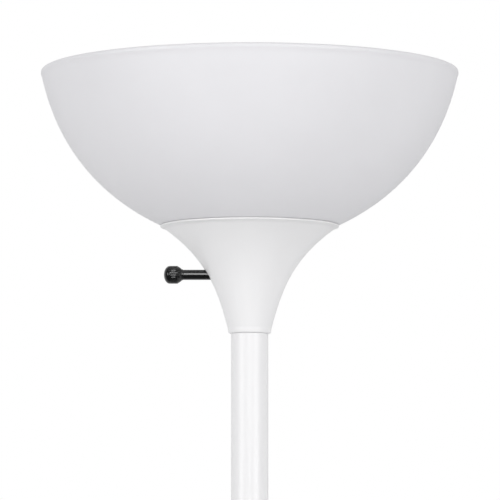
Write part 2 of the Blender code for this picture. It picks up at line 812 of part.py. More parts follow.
def bulb_diffuser(axis):
    """Frosted dome of the bulb, open at its underside."""
    centre, rows, start_deg, wall = BULB_LENGTH - BULB_RADIUS, 8, 90.0, 1.2
    foot_z = BULB_BODY_TOP + GAP
    end_deg = -math.degrees(math.asin((centre - foot_z) / BULB_RADIUS))
    line = []
    for row in range(rows + 1):
        angle = math.radians(start_deg + (end_deg - start_deg) * row / rows)
        line.append((BULB_RADIUS * math.cos(angle), centre + BULB_RADIUS * math.sin(angle)))
    line[0] = (0.0, BULB_LENGTH)
    inner = []
    for r, z in reversed(line[1:-1]):
        share = (BULB_RADIUS - wall) / BULB_RADIUS
        inner.append((r * share, centre + (z - centre) * share))
    foot_r = line[-1][0]
    outline = line + [(foot_r - wall, foot_z)] + inner + [(0.0, BULB_LENGTH - wall)]
    turned("bulb_diffuser", outline, "bulb_diffuser", TUBE_TURN, parent=axis)


def bulb():
    """Screw-in bulb, placed by the contact under its cap."""
    axis = empty("bulb_axis", NECK_Z + BULB_SEAT)
    bulb_tip(axis)
    bulb_cap_insulator(axis)
    bulb_cap(axis)
    bulb_body(axis)
    bulb_board(axis)
    bulb_diffuser(axis)


# Wiring held inside the lamp


def inner_lead():
    """Two-core lead from the gland through the weight's channel and up the pole to the holder."""
    lead_radius, start_height, channel_height = 2.0, 6.0, 4.7
    bend_radius, bend_steps = 6.0, 5
    lead_start = (0.0, BASE_RADIUS - 4.0, start_height)
    route = [lead_start, (0.0, BASE_RADIUS - 14.0, channel_height)]
    for step in range(bend_steps + 1):
        turn = math.radians(90.0) * step / bend_steps
        y = bend_radius * (1.0 - math.sin(turn))
        z = channel_height + bend_radius * (1.0 - math.cos(turn))
        route.append((0.0, y, z))
    route.append((0.0, 0.0, NECK_Z + LEAD_TOP))
    wire("inner_lead", route, lead_radius, "lead_white")


def terminal_wires():
    """The lead's two cores, from its end to the terminal screws."""
    radius = 0.9
    outward = (1.3, 1.3, 3.2, 8.5, 13.0, 17.4, 18.6, 18.6)
    upward = (LEAD_TOP + GAP, 20.6, 23.0, 27.6, 29.9, 30.3, 31.4, 33.2)
    for side, name, finish in ((1, "live", "wire_black"), (-1, "neutral", "wire_white")):
        route = [(0.0, side * y, NECK_Z + z) for y, z in zip(outward, upward)]
        wire(f"wire_{name}", route, radius, finish)


def main():
    """Build every part of the lamp."""
    clear_scene()
    base_pad()
    base_weight()
    base_cover()
    cord_gland()
    base_fasteners()
    pole_collar()
    pole_tubes()
    pole_joints()
    pole_end_bushes()
    neck_cup()
    neck_fasteners()
    holder_cap()
    switch_body()
    terminal_screws()
    switch_contact()
    switch()
    socket_insulator()
    centre_contact()
    screw_shell()
    socket_skirt()
    shade_ring()
    shade_bowl()
    bulb()
    inner_lead()
    terminal_wires()


main()
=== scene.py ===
"""Looks of an uplighter floor lamp: bowl shade, flared neck, turn switch, screwed pole and weighted base.

Outlines are (radius, height) points in millimetres that run down a piece's outer side; a third value is a
corner's rounding or the name of a relief. Heights in the head are measured up from the foot of the flared
neck, heights in the bulb from its tip, and heights in the pole and base from the floor.
"""

import json
import math
from functools import cache

import bpy
from bpy.props import FloatProperty, FloatVectorProperty, IntProperty, PointerProperty
from mathutils import Matrix, Vector


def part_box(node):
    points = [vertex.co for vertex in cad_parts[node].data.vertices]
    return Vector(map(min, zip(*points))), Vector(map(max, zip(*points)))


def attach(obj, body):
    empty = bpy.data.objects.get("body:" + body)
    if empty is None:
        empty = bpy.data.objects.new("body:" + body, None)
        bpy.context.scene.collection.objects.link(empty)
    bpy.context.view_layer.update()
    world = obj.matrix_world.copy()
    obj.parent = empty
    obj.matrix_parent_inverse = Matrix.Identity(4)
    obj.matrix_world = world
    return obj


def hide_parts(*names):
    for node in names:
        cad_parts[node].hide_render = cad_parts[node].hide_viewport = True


bl_info = {
    "name": "Uplighter Floor Lamp",
    "version": (1, 0, 0),
    "blender": (4, 5, 0),
    "location": "3D View > Sidebar > Floor Lamp",
    "description": "Builds the finished pieces, materials and studio of an uplighter floor lamp",
    "category": "Add Mesh",
}

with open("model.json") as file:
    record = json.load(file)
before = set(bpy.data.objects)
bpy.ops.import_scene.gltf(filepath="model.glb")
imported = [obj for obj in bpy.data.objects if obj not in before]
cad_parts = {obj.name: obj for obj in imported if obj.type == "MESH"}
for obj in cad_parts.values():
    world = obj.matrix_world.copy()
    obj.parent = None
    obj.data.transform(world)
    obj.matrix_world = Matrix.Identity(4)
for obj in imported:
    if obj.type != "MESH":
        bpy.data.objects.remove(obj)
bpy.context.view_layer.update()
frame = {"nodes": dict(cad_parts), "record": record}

MM = 0.001
GAP = 0.3  # clearance between neighbouring pieces


def low(node, axis=2):
    """A node's lowest value along an axis, in millimetres."""
    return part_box(node)[0][axis] / MM


def high(node, axis=2):
    """A node's highest value along an axis, in millimetres."""
    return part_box(node)[1][axis] / MM


def span(node, foot=0.0):
    """A node's bottom and top over a foot height, and its outer radius, in millimetres."""
    return low(node) - foot, high(node) - foot, high(node, 0)


def raised(height):
    """A lift by a height in millimetres."""
    return Matrix.Translation((0.0, 0.0, height * MM))


# Places read from the frame
NECK_Z = low("neck_cup")
SWITCH_Z = (low("switch_knob") + high("switch_knob")) / 2.0
SEAT_Z = low("bulb_tip")
KNOB_TURN = raised(SWITCH_Z) @ Matrix.Rotation(math.radians(-90.0), 4, "Y")

# Sides of a full turn
FINE_TURN = 192
TURN = 96
SMALL_TURN = 48

# Radius of every hole that a hollow rod passes through
ROD_HOLE = 5.3


# Sizes and colours that a user would change


def millimetres(name, description, default, least):
    """A size of the lamp, with the least that it may be."""
    return FloatProperty(name=name, description=f"{description}, in millimetres", default=default, min=least)


def repeats(name, description, default):
    """How many times a feature repeats round a piece."""
    return IntProperty(name=name, description=description, default=default, min=6)


def colour(name, description, default):
    """The main colour of a finish."""
    limits = {"min": 0.0, "max": 1.0}
    return FloatVectorProperty(name=name, description=description, default=default, subtype="COLOR", **limits)


def metres(name, description, default):
    """A distance in the studio."""
    return FloatProperty(name=name, description=description, default=default, unit="LENGTH")


def brightness(name, description, default):
    """The strength of one side of the even light."""
    return FloatProperty(name=name, description=description, default=default, min=0.0)


def watts(name, description, default):
    """The power of a soft lamp."""
    return FloatProperty(name=name, description=description, default=default, unit="POWER", min=0.0)


class LampSizes(bpy.types.PropertyGroup):
    """Main sizes of the lamp's pieces."""

    bowl_radius: millimetres("Bowl radius", "Outer radius of the bowl's rim", high("shade_bowl", 0), 60.0)
    bowl_wall: millimetres("Bowl wall", "Thickness of the bowl", 2.5, 0.5)
    rim_height: millimetres(
        "Rim height", "Height of the bowl's rim over the foot of the neck", high("shade_bowl") - NECK_Z, 80.0
    )
    neck_height: millimetres("Neck height", "Height of the flared neck", high("neck_cup") - NECK_Z, 30.0)
    neck_rim_radius: millimetres(
        "Neck rim radius", "Outer radius of the neck's lip", high("neck_cup", 1), 30.0
    )
    pole_radius: millimetres("Pole radius", "Outer radius of the pole", high("pole_tube_1", 0), 5.0)
    base_radius: millimetres("Base radius", "Outer radius of the base cover", high("base_cover", 0), 60.0)
    base_height: millimetres("Base height", "Height of the base cover's top", high("base_cover"), 10.0)
    knob_radius: millimetres(
        "Knob radius", "Outer radius of the switch knob's barrel", high("switch_knob", 1), 2.0
    )
    knob_reach: millimetres(
        "Knob reach", "Distance from the pole's axis to the knob's end", -low("switch_knob", 0), 20.0
    )
    knob_flutes: repeats("Knob flutes", "Grooves round the knob's barrel", 20)
    ring_grips: repeats("Ring grips", "Finger notches round the shade ring", 24)


class LampColours(bpy.types.PropertyGroup):
    """Colours of the lamp's main finishes."""

    paint: colour("Paint", "Powder coat of the neck, pole and base", (0.797, 0.792, 0.798))
    shade: colour("Shade", "Moulded plastic of the bowl", (0.731, 0.7245, 0.745))
    knob: colour("Knob", "Moulded plastic of the switch knob", (0.004, 0.004, 0.0045))
    phenolic: colour("Phenolic", "Dark moulding of the lamp holder", (0.05, 0.045, 0.04))


class LampStudio(bpy.types.PropertyGroup):
    """Camera, light and floor."""

    lens: millimetres("Lens", "Focal length of the camera", 268.0, 20.0)
    distance: metres("Distance", "Horizontal distance from the pole to the camera", 2.5)
    drop: metres("Drop", "How far the camera is below the foot of the neck", 0.1614)
    aim: metres("Aim", "Height over the foot of the neck that the camera looks at", 0.0565)
    side: metres("Side", "How far the camera is to the right of the pole", 0.0002)
    room: brightness("Room", "Strength of the even light from the camera's side", 0.67)
    backdrop: brightness("Backdrop", "Strength of the even light from behind the lamp", 0.77)
    zenith: brightness("Zenith", "Strength of the even light from straight above", 0.43)
    front: watts("Front", "Power of the soft lamp over the camera", 17.0)
    key_left: watts("Left key", "Power of the soft lamp to the camera's left", 35.5)
    key_right: watts("Right key", "Power of the soft lamp to the camera's right", 40.0)
    back: watts("Back", "Power of each soft lamp high up behind", 5.6)


# Outlines


def rounded(corners, steps=6):
    """Points of an outline; a corner given as (r, z, radius) becomes an arc of that radius."""
    points = []
    count = len(corners)
    for index, corner in enumerate(corners):
        if len(corner) == 2:
            points.append(corner)
            continue
        here = Vector(corner[:2])
        radius = corner[2]
        inward = (Vector(corners[index - 1][:2]) - here).normalized()
        onward = (Vector(corners[(index + 1) % count][:2]) - here).normalized()
        half_angle = inward.angle(onward) / 2.0
        centre = here + (inward + onward).normalized() * (radius / math.sin(half_angle))
        reach = radius / math.tan(half_angle)
        first = here + inward * reach - centre
        last = here + onward * reach - centre
        start = math.atan2(first.y, first.x)
        sweep = (math.atan2(last.y, last.x) - start + math.pi) % (2.0 * math.pi) - math.pi
        for step in range(steps + 1):
            angle = start + sweep * step / steps
            points.append((centre.x + radius * math.cos(angle), centre.y + radius * math.sin(angle)))
    return points


def bezier(start, first_handle, second_handle, end, steps):
    """Points along a cubic curve, both ends included."""
    corners = [Vector(corner) for corner in (start, first_handle, second_handle, end)]
    points = []
    for step in range(steps + 1):
        t = step / steps
        weights = ((1 - t) ** 3, 3 * (1 - t) ** 2 * t, 3 * (1 - t) * t * t, t**3)
        point = sum((corner * weight for corner, weight in zip(corners, weights)), Vector((0.0, 0.0)))
        points.append((point.x, point.y))
    return points


def inner_side(points, wall):
    """The same line moved inward by the wall's thickness, running back up."""
    moved = []
    last = len(points) - 1
    for index, (r, z) in enumerate(points):
        before = points[max(index - 1, 0)]
        after = points[min(index + 1, last)]
        along = Vector((after[0] - before[0], after[1] - before[1])).normalized()
        moved.append((r + along.y * wall, z - along.x * wall))
    return moved[::-1]


def arc(centre_r, centre_z, radius, start_deg, end_deg, steps):
    """Points along a circular arc, both ends included."""
    points = []
    for step in range(steps + 1):
        angle = math.radians(start_deg + (end_deg - start_deg) * step / steps)
        points.append((centre_r + radius * math.cos(angle), centre_z + radius * math.sin(angle)))
    return points


def ladder(radius, start, end, count, tag):
    """Evenly spaced points at one radius, marked with the name of the relief that they carry."""
    return [(radius, start + (end - start) * step / count, tag) for step in range(count + 1)]


# Reliefs: how a turned surface departs from round, in millimetres at a height and angle


def thread(pitch, depth, bottom, top, round_profile=False):
    """Helical screw thread that fades out over its first and last turns."""

    def relief(z, angle):
        phase = (z / pitch - angle / (2.0 * math.pi)) % 1.0
        if round_profile:
            wave = 0.5 - 0.5 * math.cos(2.0 * math.pi * phase)
        else:
            wave = abs(2.0 * phase - 1.0)
        fade = max(0.0, min(1.0, (z - bottom) / pitch, (top - z) / pitch))
        return -depth * wave * fade

    return relief


def flutes(count, depth, bottom, top, run_out):
    """Rounded grooves along the axis that fade out over the run-out at each end."""

    roundness = 0.8

    def relief(z, angle):
        wave = abs(math.sin(count * angle / 2.0)) ** roundness
        fade = max(0.0, min(1.0, (z - bottom) / run_out, (top - z) / run_out))
        return -depth * (1.0 - wave) * fade

    return relief


def notches(count, depth, share):
    """Flat-bottomed finger notches with sloped sides."""
    slope = 0.15

    def relief(z, angle):
        phase = (count * angle / (2.0 * math.pi)) % 1.0
        distance = abs(phase - 0.5) * 2.0
        edge = max(0.0, min(1.0, (share - distance) / slope))
        return -depth * edge

    return relief


# Meshes


def lathe_mesh(name, outline, sides, reliefs=None, closed=True, sharp=35.0):
    """A mesh turned round the Z axis; points tagged with a relief's name are pushed by it."""
    reliefs = reliefs or {}
    verts = []
    rings = []
    for point in outline:
        r, z = point[0], point[1]
        relief = reliefs.get(point[2]) if len(point) > 2 else None
        if r == 0.0:
            rings.append([len(verts)] * sides)
            verts.append((0.0, 0.0, z * MM))
            continue
        rings.append(list(range(len(verts), len(verts) + sides)))
        for side in range(sides):
            angle = 2.0 * math.pi * side / sides
            reach = (r + (relief(z, angle) if relief else 0.0)) * MM
            verts.append((reach * math.cos(angle), reach * math.sin(angle), z * MM))
    pairs = list(zip(rings, rings[1:]))
    if closed:
        pairs.append((rings[-1], rings[0]))
    faces = []
    for upper, lower in pairs:
        for side in range(sides):
            after = (side + 1) % sides
            face = tuple(dict.fromkeys((upper[side], lower[side], lower[after], upper[after])))
            if len(face) > 2:
                faces.append(face)
    mesh = bpy.data.meshes.new(name)
    mesh.from_pydata(verts, [], faces)
    mesh.shade_smooth()
    mesh.set_sharp_from_angle(angle=math.radians(sharp))
    return mesh


def add_object(name, mesh):
    """An object of a mesh, linked to the scene."""
    obj = bpy.data.objects.new(name, mesh)
    bpy.context.scene.collection.objects.link(obj)
    return obj


def add_piece(name, mesh, body, nodes, finish, place=None):
    """A finished piece: it rides on a body, stands for CAD nodes and takes a record slot's finish."""
    obj = add_object(name, mesh)
    if place is not None:
        obj.matrix_world = place
    mesh.materials.append(finish_of(finish))
    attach(obj, body)
    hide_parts(*nodes)
    return obj


def turned_piece(
    name, outline, sides, node, finish, rise=0.0, reliefs=None, closed=True, place=None, body="lamp"
):
    """A turned piece in the place of one CAD node, its mesh raised so that its origin stays on the floor."""
    mesh = lathe_mesh(name, outline, sides, reliefs, closed)
    mesh.transform(raised(rise))
    return add_piece(name, mesh, body, [node], finish, place)


def cut_round_hole(obj, radius, matrix, length):
    """Cut a round hole along the matrix's Z axis right through a piece's mesh."""
    outline = [(0.0, length), (radius, length), (radius, -length), (0.0, -length)]
    cutter = add_object("hole_cutter", lathe_mesh("hole_cutter", outline, SMALL_TURN, closed=False))
    cutter.matrix_world = matrix
    boolean = obj.modifiers.new("hole", "BOOLEAN")
    boolean.operation = "DIFFERENCE"
    boolean.solver = "EXACT"
    boolean.object = cutter
    bpy.context.view_layer.update()
    evaluated = obj.evaluated_get(bpy.context.evaluated_depsgraph_get())
    mesh = bpy.data.meshes.new_from_object(evaluated)
    obj.modifiers.remove(boolean)
    spent = (obj.data, cutter.data)
    obj.data = mesh
    bpy.data.objects.remove(cutter)
    for unused in spent:
        bpy.data.meshes.remove(unused)
    mesh.shade_smooth()
    mesh.set_sharp_from_angle(angle=math.radians(30.0))


# Shader helpers


def feed(tree, value, socket):
    """Join an input socket to another socket, or set it to a plain value."""
    if isinstance(value, bpy.types.NodeSocket):
        tree.links.new(value, socket)
    else:
        socket.default_value = value


def add_node(tree, kind, **inputs):
    """A node of a kind, with its inputs fed by name."""
    node = tree.nodes.new(kind)
    for label, value in inputs.items():
        feed(tree, value, node.inputs[label.replace("_", " ")])
    return node


def noise(tree, vector, scale, detail=3.0, roughness=0.55):
    """A noise texture over a vector."""
    inputs = {"Vector": vector, "Scale": scale, "Detail": detail, "Roughness": roughness}
    return add_node(tree, "ShaderNodeTexNoise", **inputs).outputs["Fac"]


def math_node(tree, operation, *values):
    """A Math node whose arguments are sockets or numbers."""
    node = tree.nodes.new("ShaderNodeMath")
    node.operation = operation
    for value, socket in zip(values, node.inputs):
        feed(tree, value, socket)
    return node.outputs[0]


def map_range(tree, value, from_low, from_high, to_low=0.0, to_high=1.0):
    """Map a value between two ranges, held at the ends."""
    limits = {"From_Min": from_low, "From_Max": from_high, "To_Min": to_low, "To_Max": to_high}
    return add_node(tree, "ShaderNodeMapRange", Value=value, **limits).outputs["Result"]


def axes(tree, vector):
    """A vector's X, Y and Z."""
    return add_node(tree, "ShaderNodeSeparateXYZ", Vector=vector).outputs


def group(name, defaults, results):
    """An empty shader node group over a vector, with its number inputs and outputs."""
    tree = bpy.data.node_groups.new(name, "ShaderNodeTree")
    tree.interface.new_socket("Vector", in_out="INPUT", socket_type="NodeSocketVector")
    for label, default in defaults.items():
        socket = tree.interface.new_socket(label, in_out="INPUT", socket_type="NodeSocketFloat")
        socket.default_value = default
    for label in results:
        tree.interface.new_socket(label, in_out="OUTPUT", socket_type="NodeSocketFloat")
    return tree, tree.nodes.new("NodeGroupInput").outputs, tree.nodes.new("NodeGroupOutput").inputs


def patchy_gloss(tree, patches, given):
    """Roughness that follows patches between the group's smoothest and roughest."""
    return map_range(tree, patches, 0.3, 0.7, given["Smoothest"], given["Roughest"])


@cache
def peel_group():
    """Soft ripple and fine pimples of a powder coat."""
    defaults = {"Ripple Scale": 420.0, "Smoothest": 0.3, "Roughest": 0.4}
    tree, given, result = group("Coat ripple", defaults, ("Height", "Roughness", "Mottle"))
    pimple_scale, pimple_share, cloud_scale = 2600.0, 0.25, 14.0
    ripple = noise(tree, given["Vector"], given["Ripple Scale"], 2.0)
    pimples = noise(tree, given["Vector"], pimple_scale, 2.0)
    cloud = noise(tree, given["Vector"], cloud_scale, 4.0)
    feed(tree, math_node(tree, "MULTIPLY_ADD", pimples, pimple_share, ripple), result["Height"])
    feed(tree, patchy_gloss(tree, cloud, given), result["Roughness"])
    feed(tree, cloud, result["Mottle"])
    return tree


@cache
def mould_group():
    """Fine matt grain that a spark-eroded mould leaves, with slow changes of gloss."""
    defaults = {"Grain Scale": 1800.0, "Smoothest": 0.35, "Roughest": 0.5}
    tree, given, result = group("Mould grain", defaults, ("Height", "Roughness", "Flow"))
    flow_scale = 22.0
    flow = noise(tree, given["Vector"], flow_scale)
    feed(tree, noise(tree, given["Vector"], given["Grain Scale"], 1.0), result["Height"])
    feed(tree, patchy_gloss(tree, flow, given), result["Roughness"])
    feed(tree, flow, result["Flow"])
    return tree


@cache
def tool_mark_group():
    """Fine rings that a lathe or a rolling mill leaves, and the stain that gathers on them."""
    defaults = {"Line Scale": 2500.0, "Smoothest": 0.2, "Roughest": 0.4}
    tree, given, result = group("Tool marks", defaults, ("Height", "Roughness", "Stain"))
    stain_scale = 160.0
    place = axes(tree, given["Vector"])
    square_x = math_node(tree, "MULTIPLY", place["X"], place["X"])
    square_sum = math_node(tree, "MULTIPLY_ADD", place["Y"], place["Y"], square_x)
    along = math_node(tree, "ADD", math_node(tree, "SQRT", square_sum), place["Z"])
    line = add_node(tree, "ShaderNodeCombineXYZ", X=along).outputs[0]
    stain = noise(tree, given["Vector"], stain_scale, 5.0, 0.65)
    feed(tree, noise(tree, line, given["Line Scale"], 2.0), result["Height"])
    feed(tree, patchy_gloss(tree, stain, given), result["Roughness"])
    feed(tree, stain, result["Stain"])
    return tree


@cache
def dust_group():
    """A thin veil of dust on what faces up."""
    tree, given, result = group("Dust veil", {"Amount": 0.2}, ("Mask",))
    speck_scale = 90.0
    normal = tree.nodes.new("ShaderNodeTexCoord").outputs["Normal"]
    upward = map_range(tree, axes(tree, normal)["Z"], 0.2, 1.0)
    patches = map_range(tree, noise(tree, given["Vector"], speck_scale, 6.0, 0.7), 0.35, 0.75, 0.2, 1.0)
    veil = math_node(tree, "MULTIPLY", upward, patches)
    feed(tree, math_node(tree, "MULTIPLY", veil, given["Amount"]), result["Mask"])
    return tree


@cache
def scuff_group():
    """Small scuffs below a height, where shoes and brooms touch."""
    tree, given, result = group("Floor scuffs", {"Reach": 0.02, "Amount": 0.3}, ("Mask",))
    mark_scale, flatten = 55.0, (1.0, 1.0, 6.0)
    share = math_node(tree, "DIVIDE", axes(tree, given["Vector"])["Z"], given["Reach"])
    near_floor = map_range(tree, share, 0.3, 1.0, 1.0, 0.0)
    stretched = add_node(tree, "ShaderNodeMapping", Vector=given["Vector"], Scale=flatten).outputs[0]
    worn = map_range(tree, noise(tree, stretched, mark_scale, 6.0, 0.7), 0.6, 0.68)
    mask = math_node(tree, "MULTIPLY", near_floor, worn)
    feed(tree, math_node(tree, "MULTIPLY", mask, given["Amount"]), result["Mask"])
    return tree


class Finish:
    """One procedural material being put together round its Principled shader."""

    def __init__(self, name, metallic=0.0):
        self.material = bpy.data.materials.new(name)
        self.material.use_nodes = True
        self.tree = self.material.node_tree
        self.shader = self.tree.nodes["Principled BSDF"]
        self.shader.inputs["Metallic"].default_value = metallic
        self.vector = self.tree.nodes.new("ShaderNodeTexCoord").outputs["Object"]

    def place(self, shared, **values):
        """Put a shared group in the material and set its inputs."""
        node = self.tree.nodes.new("ShaderNodeGroup")
        node.node_tree = shared
        feed(self.tree, self.vector, node.inputs["Vector"])
        for label, value in values.items():
            feed(self.tree, value, node.inputs[label.replace("_", " ")])
        return node.outputs

    def grain(self, scale, smoothest, roughest):
        """Place the mould grain."""
        return self.place(mould_group(), Grain_Scale=scale, Smoothest=smoothest, Roughest=roughest)

    def level(self, value, from_low, from_high, to_low=0.0, to_high=1.0):
        """Map a value between two ranges."""
        return map_range(self.tree, value, from_low, from_high, to_low, to_high)

    def blend(self, factor, first, second):
        """A colour between two, each a socket or a plain colour."""
        node = self.tree.nodes.new("ShaderNodeMix")
        node.data_type = "RGBA"
        feed(self.tree, factor, node.inputs["Factor"])
        for label, shade in (("A", first), ("B", second)):
            socket = next(s for s in node.inputs if s.name == label and s.type == "RGBA")
            feed(self.tree, (*shade, 1.0) if isinstance(shade, tuple) else shade, socket)
        return next(s for s in node.outputs if s.type == "RGBA")

    def feed(self, **inputs):
        """Feed the shader's inputs by name."""
        for label, value in inputs.items():
            feed(self.tree, value, self.shader.inputs[label.replace("_", " ")])

    def done(self, shade, effect, strength, depth, height=None):
        """The material, its gloss and relief taken from a group; the relief is depth metres from 0 to 1."""
        relief = effect["Height"] if height is None else height
        bump = add_node(self.tree, "ShaderNodeBump", Strength=strength, Distance=depth, Height=relief)
        self.feed(Base_Color=shade, Roughness=effect["Roughness"], Normal=bump.outputs["Normal"])
        return self.material


def shaded(tint, share):
    """A colour made darker or lighter by a share."""
    return tuple(min(1.0, channel * share) for channel in tint)


# Finishes


def white_metal():
    """Satin white powder coat, a little dusty on top and scuffed by the floor."""
    finish = Finish("white_metal")
    paint = tuple(bpy.context.scene.lamp_colours.paint)
    dust_tint, scuff_tint = (0.52, 0.5, 0.47), (0.35, 0.34, 0.33)
    coat = finish.place(peel_group(), Ripple_Scale=420.0, Smoothest=0.3, Roughest=0.4)
    base = finish.blend(finish.level(coat["Mottle"], 0.3, 0.7), shaded(paint, 0.985), paint)
    dust = finish.place(dust_group(), Amount=0.16)
    dusty = finish.blend(dust["Mask"], base, dust_tint)
    scuffs = finish.place(scuff_group(), Reach=0.016, Amount=0.35)
    return finish.done(finish.blend(scuffs["Mask"], dusty, scuff_tint), coat, 0.35, 0.00006)


def white_shade():
    """Opaque white moulding with a fine satin grain."""
    finish = Finish("white_shade")
    plastic = tuple(bpy.context.scene.lamp_colours.shade)
    dust_tint = (0.5, 0.48, 0.45)
    grain = finish.grain(1500.0, 0.42, 0.5)
    base = finish.blend(finish.level(grain["Flow"], 0.3, 0.7), shaded(plastic, 0.985), plastic)
    dust = finish.place(dust_group(), Amount=0.12)
    return finish.done(finish.blend(dust["Mask"], base, dust_tint), grain, 0.25, 0.00003)


def black_plastic():
    """Glossy black moulding with a faint flow mottle."""
    finish = Finish("black_plastic")
    plastic, mottle_tint = tuple(bpy.context.scene.lamp_colours.knob), (0.007, 0.007, 0.007)
    grain = finish.grain(2400.0, 0.1, 0.14)
    mottled = finish.blend(finish.level(grain["Flow"], 0.35, 0.75), plastic, mottle_tint)
    return finish.done(mottled, grain, 0.15, 0.00002)


def phenolic():
    """Dark phenolic moulding with a faint filler mottle."""
    finish = Finish("phenolic")
    resin = tuple(bpy.context.scene.lamp_colours.phenolic)
    grain = finish.grain(900.0, 0.28, 0.45)
    filler = finish.level(grain["Height"], 0.4, 0.62)
    return finish.done(finish.blend(filler, shaded(resin, 0.6), shaded(resin, 1.5)), grain, 0.25, 0.00004)


def cast_iron():
    """Sand-cast iron under dark primer, with rust specks."""
    finish = Finish("cast_iron")
    primer_dark, primer_light, rust_tint = (0.05, 0.05, 0.055), (0.1, 0.1, 0.1), (0.16, 0.07, 0.035)
    lump_scale, grain_share = 90.0, 0.4
    grain = finish.grain(520.0, 0.6, 0.85)
    lumps = noise(finish.tree, finish.vector, lump_scale, 6.0, 0.7)
    rust = finish.level(lumps, 0.58, 0.72, 0.0, 0.7)
    primer = finish.blend(grain["Flow"], primer_dark, primer_light)
    relief = math_node(finish.tree, "MULTIPLY_ADD", grain["Height"], grain_share, lumps)
    return finish.done(finish.blend(rust, primer, rust_tint), grain, 0.6, 0.0005, relief)


def foam_pad():
    """Black closed-cell foam, painted darker in the pits of its cells as painted shade."""
    finish = Finish("foam_pad")
    painted_pit_shade, cell_rim_tint, cell_scale = (0.018, 0.018, 0.018), (0.05, 0.05, 0.05), 900.0
    voronoi = add_node(finish.tree, "ShaderNodeTexVoronoi", Scale=cell_scale, Vector=finish.vector)
    cells = voronoi.outputs["Distance"]
    grain = finish.grain(700.0, 0.8, 0.95)
    # Painted shade: the foam is darker in its cells' pits and lighter on their rims, following the relief.
    shade = finish.blend(finish.level(cells, 0.1, 0.8), painted_pit_shade, cell_rim_tint)
    return finish.done(shade, grain, 0.7, 0.0003, cells)


def metal(name, bright, stained, smoothest, roughest, line_scale):
    """A metal with turning marks and light staining."""
    finish = Finish(name, metallic=1.0)
    marks = finish.place(tool_mark_group(), Line_Scale=line_scale, Smoothest=smoothest, Roughest=roughest)
    shade = finish.blend(finish.level(marks["Stain"], 0.42, 0.75), bright, stained)
    return finish.done(shade, marks, 0.3, 0.00003)


def soft_plastic(name, tint, smoothest, roughest, grain_scale, lift):
    """A moulded or extruded plastic or rubber of one colour, lifted a little where it flowed."""
    finish = Finish(name)
    grain = finish.grain(grain_scale, smoothest, roughest)
    shade = finish.blend(finish.level(grain["Flow"], 0.3, 0.7), tint, shaded(tint, lift))
    return finish.done(shade, grain, 0.3, 0.00004)


OWN_FINISHES = {
    "white_metal": white_metal,
    "white_shade": white_shade,
    "black_plastic": black_plastic,
    "phenolic": phenolic,
    "cast_iron": cast_iron,
    "foam_pad": foam_pad,
}

# Clean colour, stained colour, smoothest and roughest, scale of the turning marks
METALS = {
    "zinc_steel": ((0.66, 0.67, 0.68), (0.4, 0.41, 0.42), 0.26, 0.46, 2200.0),
    "brass": ((0.8, 0.6, 0.27), (0.42, 0.27, 0.11), 0.22, 0.42, 2600.0),
    "nickel": ((0.72, 0.69, 0.64), (0.5, 0.47, 0.42), 0.16, 0.3, 1800.0),
    "aluminium": ((0.8, 0.8, 0.81), (0.6, 0.6, 0.61), 0.28, 0.44, 1600.0),
}

# Colour, smoothest and roughest, scale of the grain, lift of the colour
SOFT_PLASTICS = {
    "rubber": ((0.02, 0.02, 0.02), 0.65, 0.85, 900.0, 1.8),
    "bulb_diffuser": ((0.86, 0.86, 0.84), 0.38, 0.46, 2200.0, 1.02),
    "white_moulding": ((0.78, 0.78, 0.77), 0.35, 0.48, 1500.0, 1.03),
    "cap_bead": ((0.02, 0.02, 0.025), 0.08, 0.2, 600.0, 1.6),
    "wire_black": ((0.015, 0.015, 0.015), 0.45, 0.6, 1600.0, 1.6),
    "wire_white": ((0.74, 0.74, 0.72), 0.42, 0.55, 1600.0, 1.04),
    "lead_white": ((0.72, 0.72, 0.7), 0.48, 0.6, 1400.0, 1.04),
}


@cache
def finish_of(slot):
    """The material of a record slot, made at its first use."""
    if slot in METALS:
        return metal(slot, *METALS[slot])
    if slot in SOFT_PLASTICS:
        return soft_plastic(slot, *SOFT_PLASTICS[slot])
    return OWN_FINISHES[slot]()


# Shade


class FLOORLAMP_OT_bowl(bpy.types.Operator):
    """Make the open bowl shade with its rolled rim"""

    bl_idname = "floor_lamp.bowl"
    bl_label = "Bowl shade"

    def execute(self, context):
        sizes = context.scene.lamp_sizes
        radius, rim, wall = sizes.bowl_radius, sizes.rim_height, sizes.bowl_wall
        bottom = low("shade_bowl") - NECK_Z
        hole, round_off, foot_radius = 20.2, 0.4, 50.0
        bead, bead_drop = 0.5, 3.6
        edge = wall / 2.0 + 0.1
        lip = arc(radius - edge, rim - edge, edge, 180.0, 0.0, 10)
        lip += [(radius, rim - bead_drop + 1.2), (radius - bead * 0.4, rim - bead_drop + 0.4)]
        foot = (foot_radius, bottom + 0.5)
        outer = bezier((radius - bead, rim - bead_drop), (127.5, 114.4), (88.0, 84.1), foot, 56)
        outer += bezier(foot, (49.0, bottom + 0.1), (46.0, bottom), (42.0, bottom), 6)[1:]
        hub = [(hole + round_off, bottom), (hole, bottom + round_off)]
        hub += [(hole, bottom + wall - round_off), (hole + round_off, bottom + wall)]
        outline = lip + outer + hub + inner_side(outer, wall)
        turned_piece("bowl_shade", outline, FINE_TURN, "shade_bowl", "white_shade", NECK_Z)
        return {"FINISHED"}


# Neck


